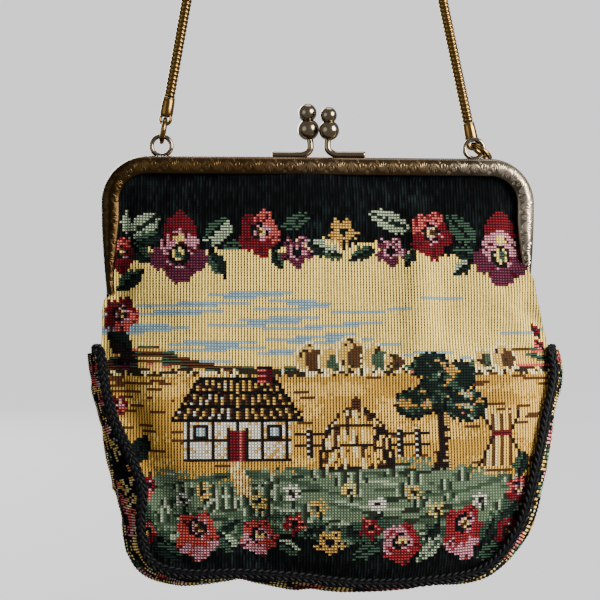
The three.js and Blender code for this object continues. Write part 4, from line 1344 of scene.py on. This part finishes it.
def buildPanels():
    pitch = clothSim["pitch"]
    coarseX, coarseZ = panelGrid(pitch, pitch)
    coarse = np.stack((coarseX, -clothDepth(coarseX, coarseZ), coarseZ), 2)
    moved = settle("panelHang", coarse, clothSim["panelPressure"])
    x, z = panelGrid(panelSize["pitchX"], panelSize["pitchZ"])
    depth = clothDepth(x, z)
    shift = readGrid(moved, x / pitch - math.floor(panelSize["left"] / pitch), -z / pitch)
    middleX = (x[:-1, :-1] + x[1:, 1:]) / 2
    middleZ = (z[:-1, :-1] + z[1:, 1:]) / 2
    cloth = panelCloth(middleX, middleZ)
    for name, node, side in (("frontPanel", "front_panel", -1), ("backPanel", "back_panel", 1)):
        mirrored = shift * np.array((1, -side, 1))
        outer = np.stack((x, side * depth, z), 2) + mirrored
        inner = np.stack((x, side * (depth - panelSize["wall"]), z), 2) + mirrored
        piece = wovenSheet(name, outer, inner, cloth, tapestry)
        dress(piece, node)


buildPanels()


# The strip bows outwards between the two seams, behind the panels' edges
def gussetGrid(along, across):
    wall = panelSize["wall"]
    seam = seamAt(np.linspace(0, 1, along + 1))
    over = np.linspace(-1, 1, across + 1)[None, :]
    half = (seam[:, 2] - wall - panelSize["seamGap"])[:, None]
    swell = seam[:, 3][:, None]
    bow = swell * (1 - over**2)
    slope = np.hypot(half, 2 * swell * over)
    inward = wall * half / slope
    sideways = wall * 2 * swell * over / slope
    layers = []
    for share in (0, 1):
        out = bow - share * inward
        x = seam[:, 0:1] + seam[:, 4:5] * out
        z = seam[:, 1:2] + seam[:, 5:6] * out
        layers.append(np.stack((x, half * over - share * sideways, z), 2))
    return layers


def buildGusset():
    size = gussetCloth
    length = arcLength(seamAt(np.linspace(0, 1, 400))[:, :2])[-1]
    along, across = round(length / size["pitchAlong"]), size["across"]
    outer, inner = gussetGrid(along, across)
    coarse = gussetGrid(round(length / clothSim["pitch"]), size["simAcross"])[0]
    moved = settle("gussetHang", coarse, clothSim["gussetPressure"])
    columnPlace = np.linspace(0, moved.shape[1] - 1, across + 1)
    rowPlace = np.linspace(0, moved.shape[0] - 1, along + 1)
    shift = readGrid(moved, *np.meshgrid(columnPlace, rowPlace))
    z, x = np.meshgrid(np.arange(across) * size["pitchAcross"], np.arange(along) * size["pitchAlong"])
    piece = wovenSheet("gussetStrip", outer + shift, inner + shift, scatteredCloth(x, z), gussetWeave)
    dress(piece, "gusset")
    print("gusset", round(length), "mm long")


buildGusset()

# Plaited trim: two cords of opposite twist side by side on each seam
braidSize = dict(
    cordApart=0.95, cordTurn=0.6, strand=0.82, core=1.3, pitch=5.8, sides=8, step=0.6, outward=0.2, lift=1.9,
    wrapRise=0.8,
)
braidWrap = [(3.2, 0.8), (3, 2), (1.8, 4.4)]  # outwards and aside at the top corners
braidFinish = dict(
    scale=1500.0, detail=3.0, tones=[(0.35, (1, 1, 2)), (0.75, (9, 9, 12))], relief=0.5, reliefDeep=0.0002,
    roughness=0.55, specular=0.1,
)


def braidMaterial():
    look = braidFinish
    material, shader = newMaterial("blackBraid")
    fibre = noise(material, look["scale"], look["detail"])
    plug(material, shader, {
        "Base Color": ramp(material, fibre, look["tones"]),
        "Normal": bump(material, fibre, look["reliefDeep"], look["relief"]),
        "Roughness": look["roughness"],
        "Specular IOR Level": look["specular"],
    })
    return material


def braidPath(side):
    size = braidSize
    seam = seamAt(np.linspace(0, 1, 300))
    x = seam[:, 0] + seam[:, 4] * size["outward"]
    z = seam[:, 1] + seam[:, 5] * size["outward"]
    along = np.stack((x, side * (seam[:, 2] + size["lift"]), z), 1)
    first, last = (
        [(row[0] + hand * out, side * aside, row[1] + size["wrapRise"]) for out, aside in braidWrap]
        for row, hand in ((seamRows[0], -1), (seamRows[-1], 1))
    )
    rows = np.vstack((first, along[::6], along[-1:], last[::-1]))
    line = smoothLine(rows, np.linspace(0, 1, 2400))
    length = arcLength(line)
    stops = np.arange(0, length[-1], size["step"])
    return pointsAt(line, length, stops), stops


def buildBraids():
    size = braidSize
    material = braidMaterial()
    for name, node, side in (("frontBraid", "front_braid", -1), ("backBraid", "back_braid", 1)):
        path, stops = braidPath(side)
        across, facing = pathSides(path, -side * yAxis)
        parts = [tube(path, size["core"], size["sides"])]
        for hand in (-1, 1):
            cord = path + hand * size["cordApart"] * across
            for strand in range(2):
                turn = (hand * stops * 2 * math.pi / size["pitch"] + strand * math.pi)[:, None]
                helix = cord + size["cordTurn"] * (np.cos(turn) * across + np.sin(turn) * facing)
                parts.append(tube(helix, size["strand"], size["sides"]))
        meshPiece(name, parts, [material], node)


buildBraids()
print("braids built")

# Stage: a pale floor that runs up into a backdrop all round, a soft key from the right, a weak fill
stageSize = dict(floor=-0.535, radius=2.4, cove=0.6, height=3.0, coveSteps=12, sides=96, paper=1.15)
lights = dict(
    key=dict(place=(0.95, -0.7, 0.05), size=0.9, energy=52.0, colour=(1.0, 0.98, 0.95)),
    fill=dict(place=(-0.9, -0.7, -0.2), size=0.9, energy=2.5, colour=(0.92, 0.96, 1.0)),
    top=dict(place=(0.1, 0.3, 0.75), size=0.8, energy=5.0, colour=(1.0, 1.0, 1.0)),
    back=dict(place=(-0.45, 1.25, 0.1), size=1.0, energy=24.0, colour=(1.0, 0.98, 0.96)),
)
lightAim = Vector((0.005, 0.0, -0.38))
worldLight = dict(colour=(0.94, 0.96, 1.0, 1), strength=0.33)
cameraPlace = dict(
    place=(-0.05545, -0.59875, -0.36951), aim=(0.0872, 0.9962, 0.0), lens=81.975, sensor=36.0, near=0.01,
)


def buildStage():
    size = stageSize
    turn = np.linspace(0, math.pi / 2, size["coveSteps"] + 1)
    coveRadius = size["radius"] - size["cove"] * (1 - np.sin(turn))
    cove = np.stack((coveRadius, size["cove"] * (1 - np.cos(turn))), 1)
    profile = np.vstack(((0, 0), cove, (size["radius"], size["height"])))
    radius, rise = profile[:, :1], profile[:, 1:]
    spin = circle(size["sides"])
    points = np.stack((radius * np.cos(spin), radius * np.sin(spin), size["floor"] + rise + 0 * spin), 2)
    faces = ringFaces(len(profile), size["sides"], capped=False)
    mesh = bpy.data.meshes.new("backdrop")
    mesh.from_pydata(points.reshape(-1, 3).tolist(), [], faces, shade_flat=False)
    material, shader = newMaterial("paleFloor")
    plug(material, shader, {
        "Base Color": (0.02, 0.02, 0.02, 1),
        "Roughness": 0.8,
        "Emission Color": (1, 1, 1, 1),
        "Emission Strength": size["paper"],
    })
    mesh.materials.append(material)
    backdrop = addObject("backdrop", mesh)
    backdrop.visible_shadow = False
    backdrop.visible_diffuse = False
    backdrop.visible_glossy = False


# A light or a camera looks along its own -z
def setInPlace(thing, place, direction):
    thing.location = place
    thing.rotation_euler = Vector(direction).to_track_quat("-Z", "Y").to_euler()


def buildLights():
    for name, light in lights.items():
        data = bpy.data.lights.new(name, "AREA")
        data.shape = "DISK"
        data.size = light["size"]
        data.energy = light["energy"]
        data.color = light["colour"]
        lamp = addObject(name, data)
        lamp.visible_camera = False
        setInPlace(lamp, light["place"], lightAim - Vector(light["place"]))
    world = bpy.data.worlds.new("studio")
    world.use_nodes = True
    background = world.node_tree.nodes["Background"]
    background.inputs["Color"].default_value = worldLight["colour"]
    background.inputs["Strength"].default_value = worldLight["strength"]
    bpy.context.scene.world = world


def buildCamera():
    data = bpy.data.cameras.new("photoCamera")
    data.lens = cameraPlace["lens"]
    data.sensor_width = cameraPlace["sensor"]
    data.clip_start = cameraPlace["near"]
    camera = addObject("photoCamera", data)
    setInPlace(camera, cameraPlace["place"], cameraPlace["aim"])
    bpy.context.scene.camera = camera


buildStage()
buildLights()
buildCamera()
print("stage, lights and camera set")
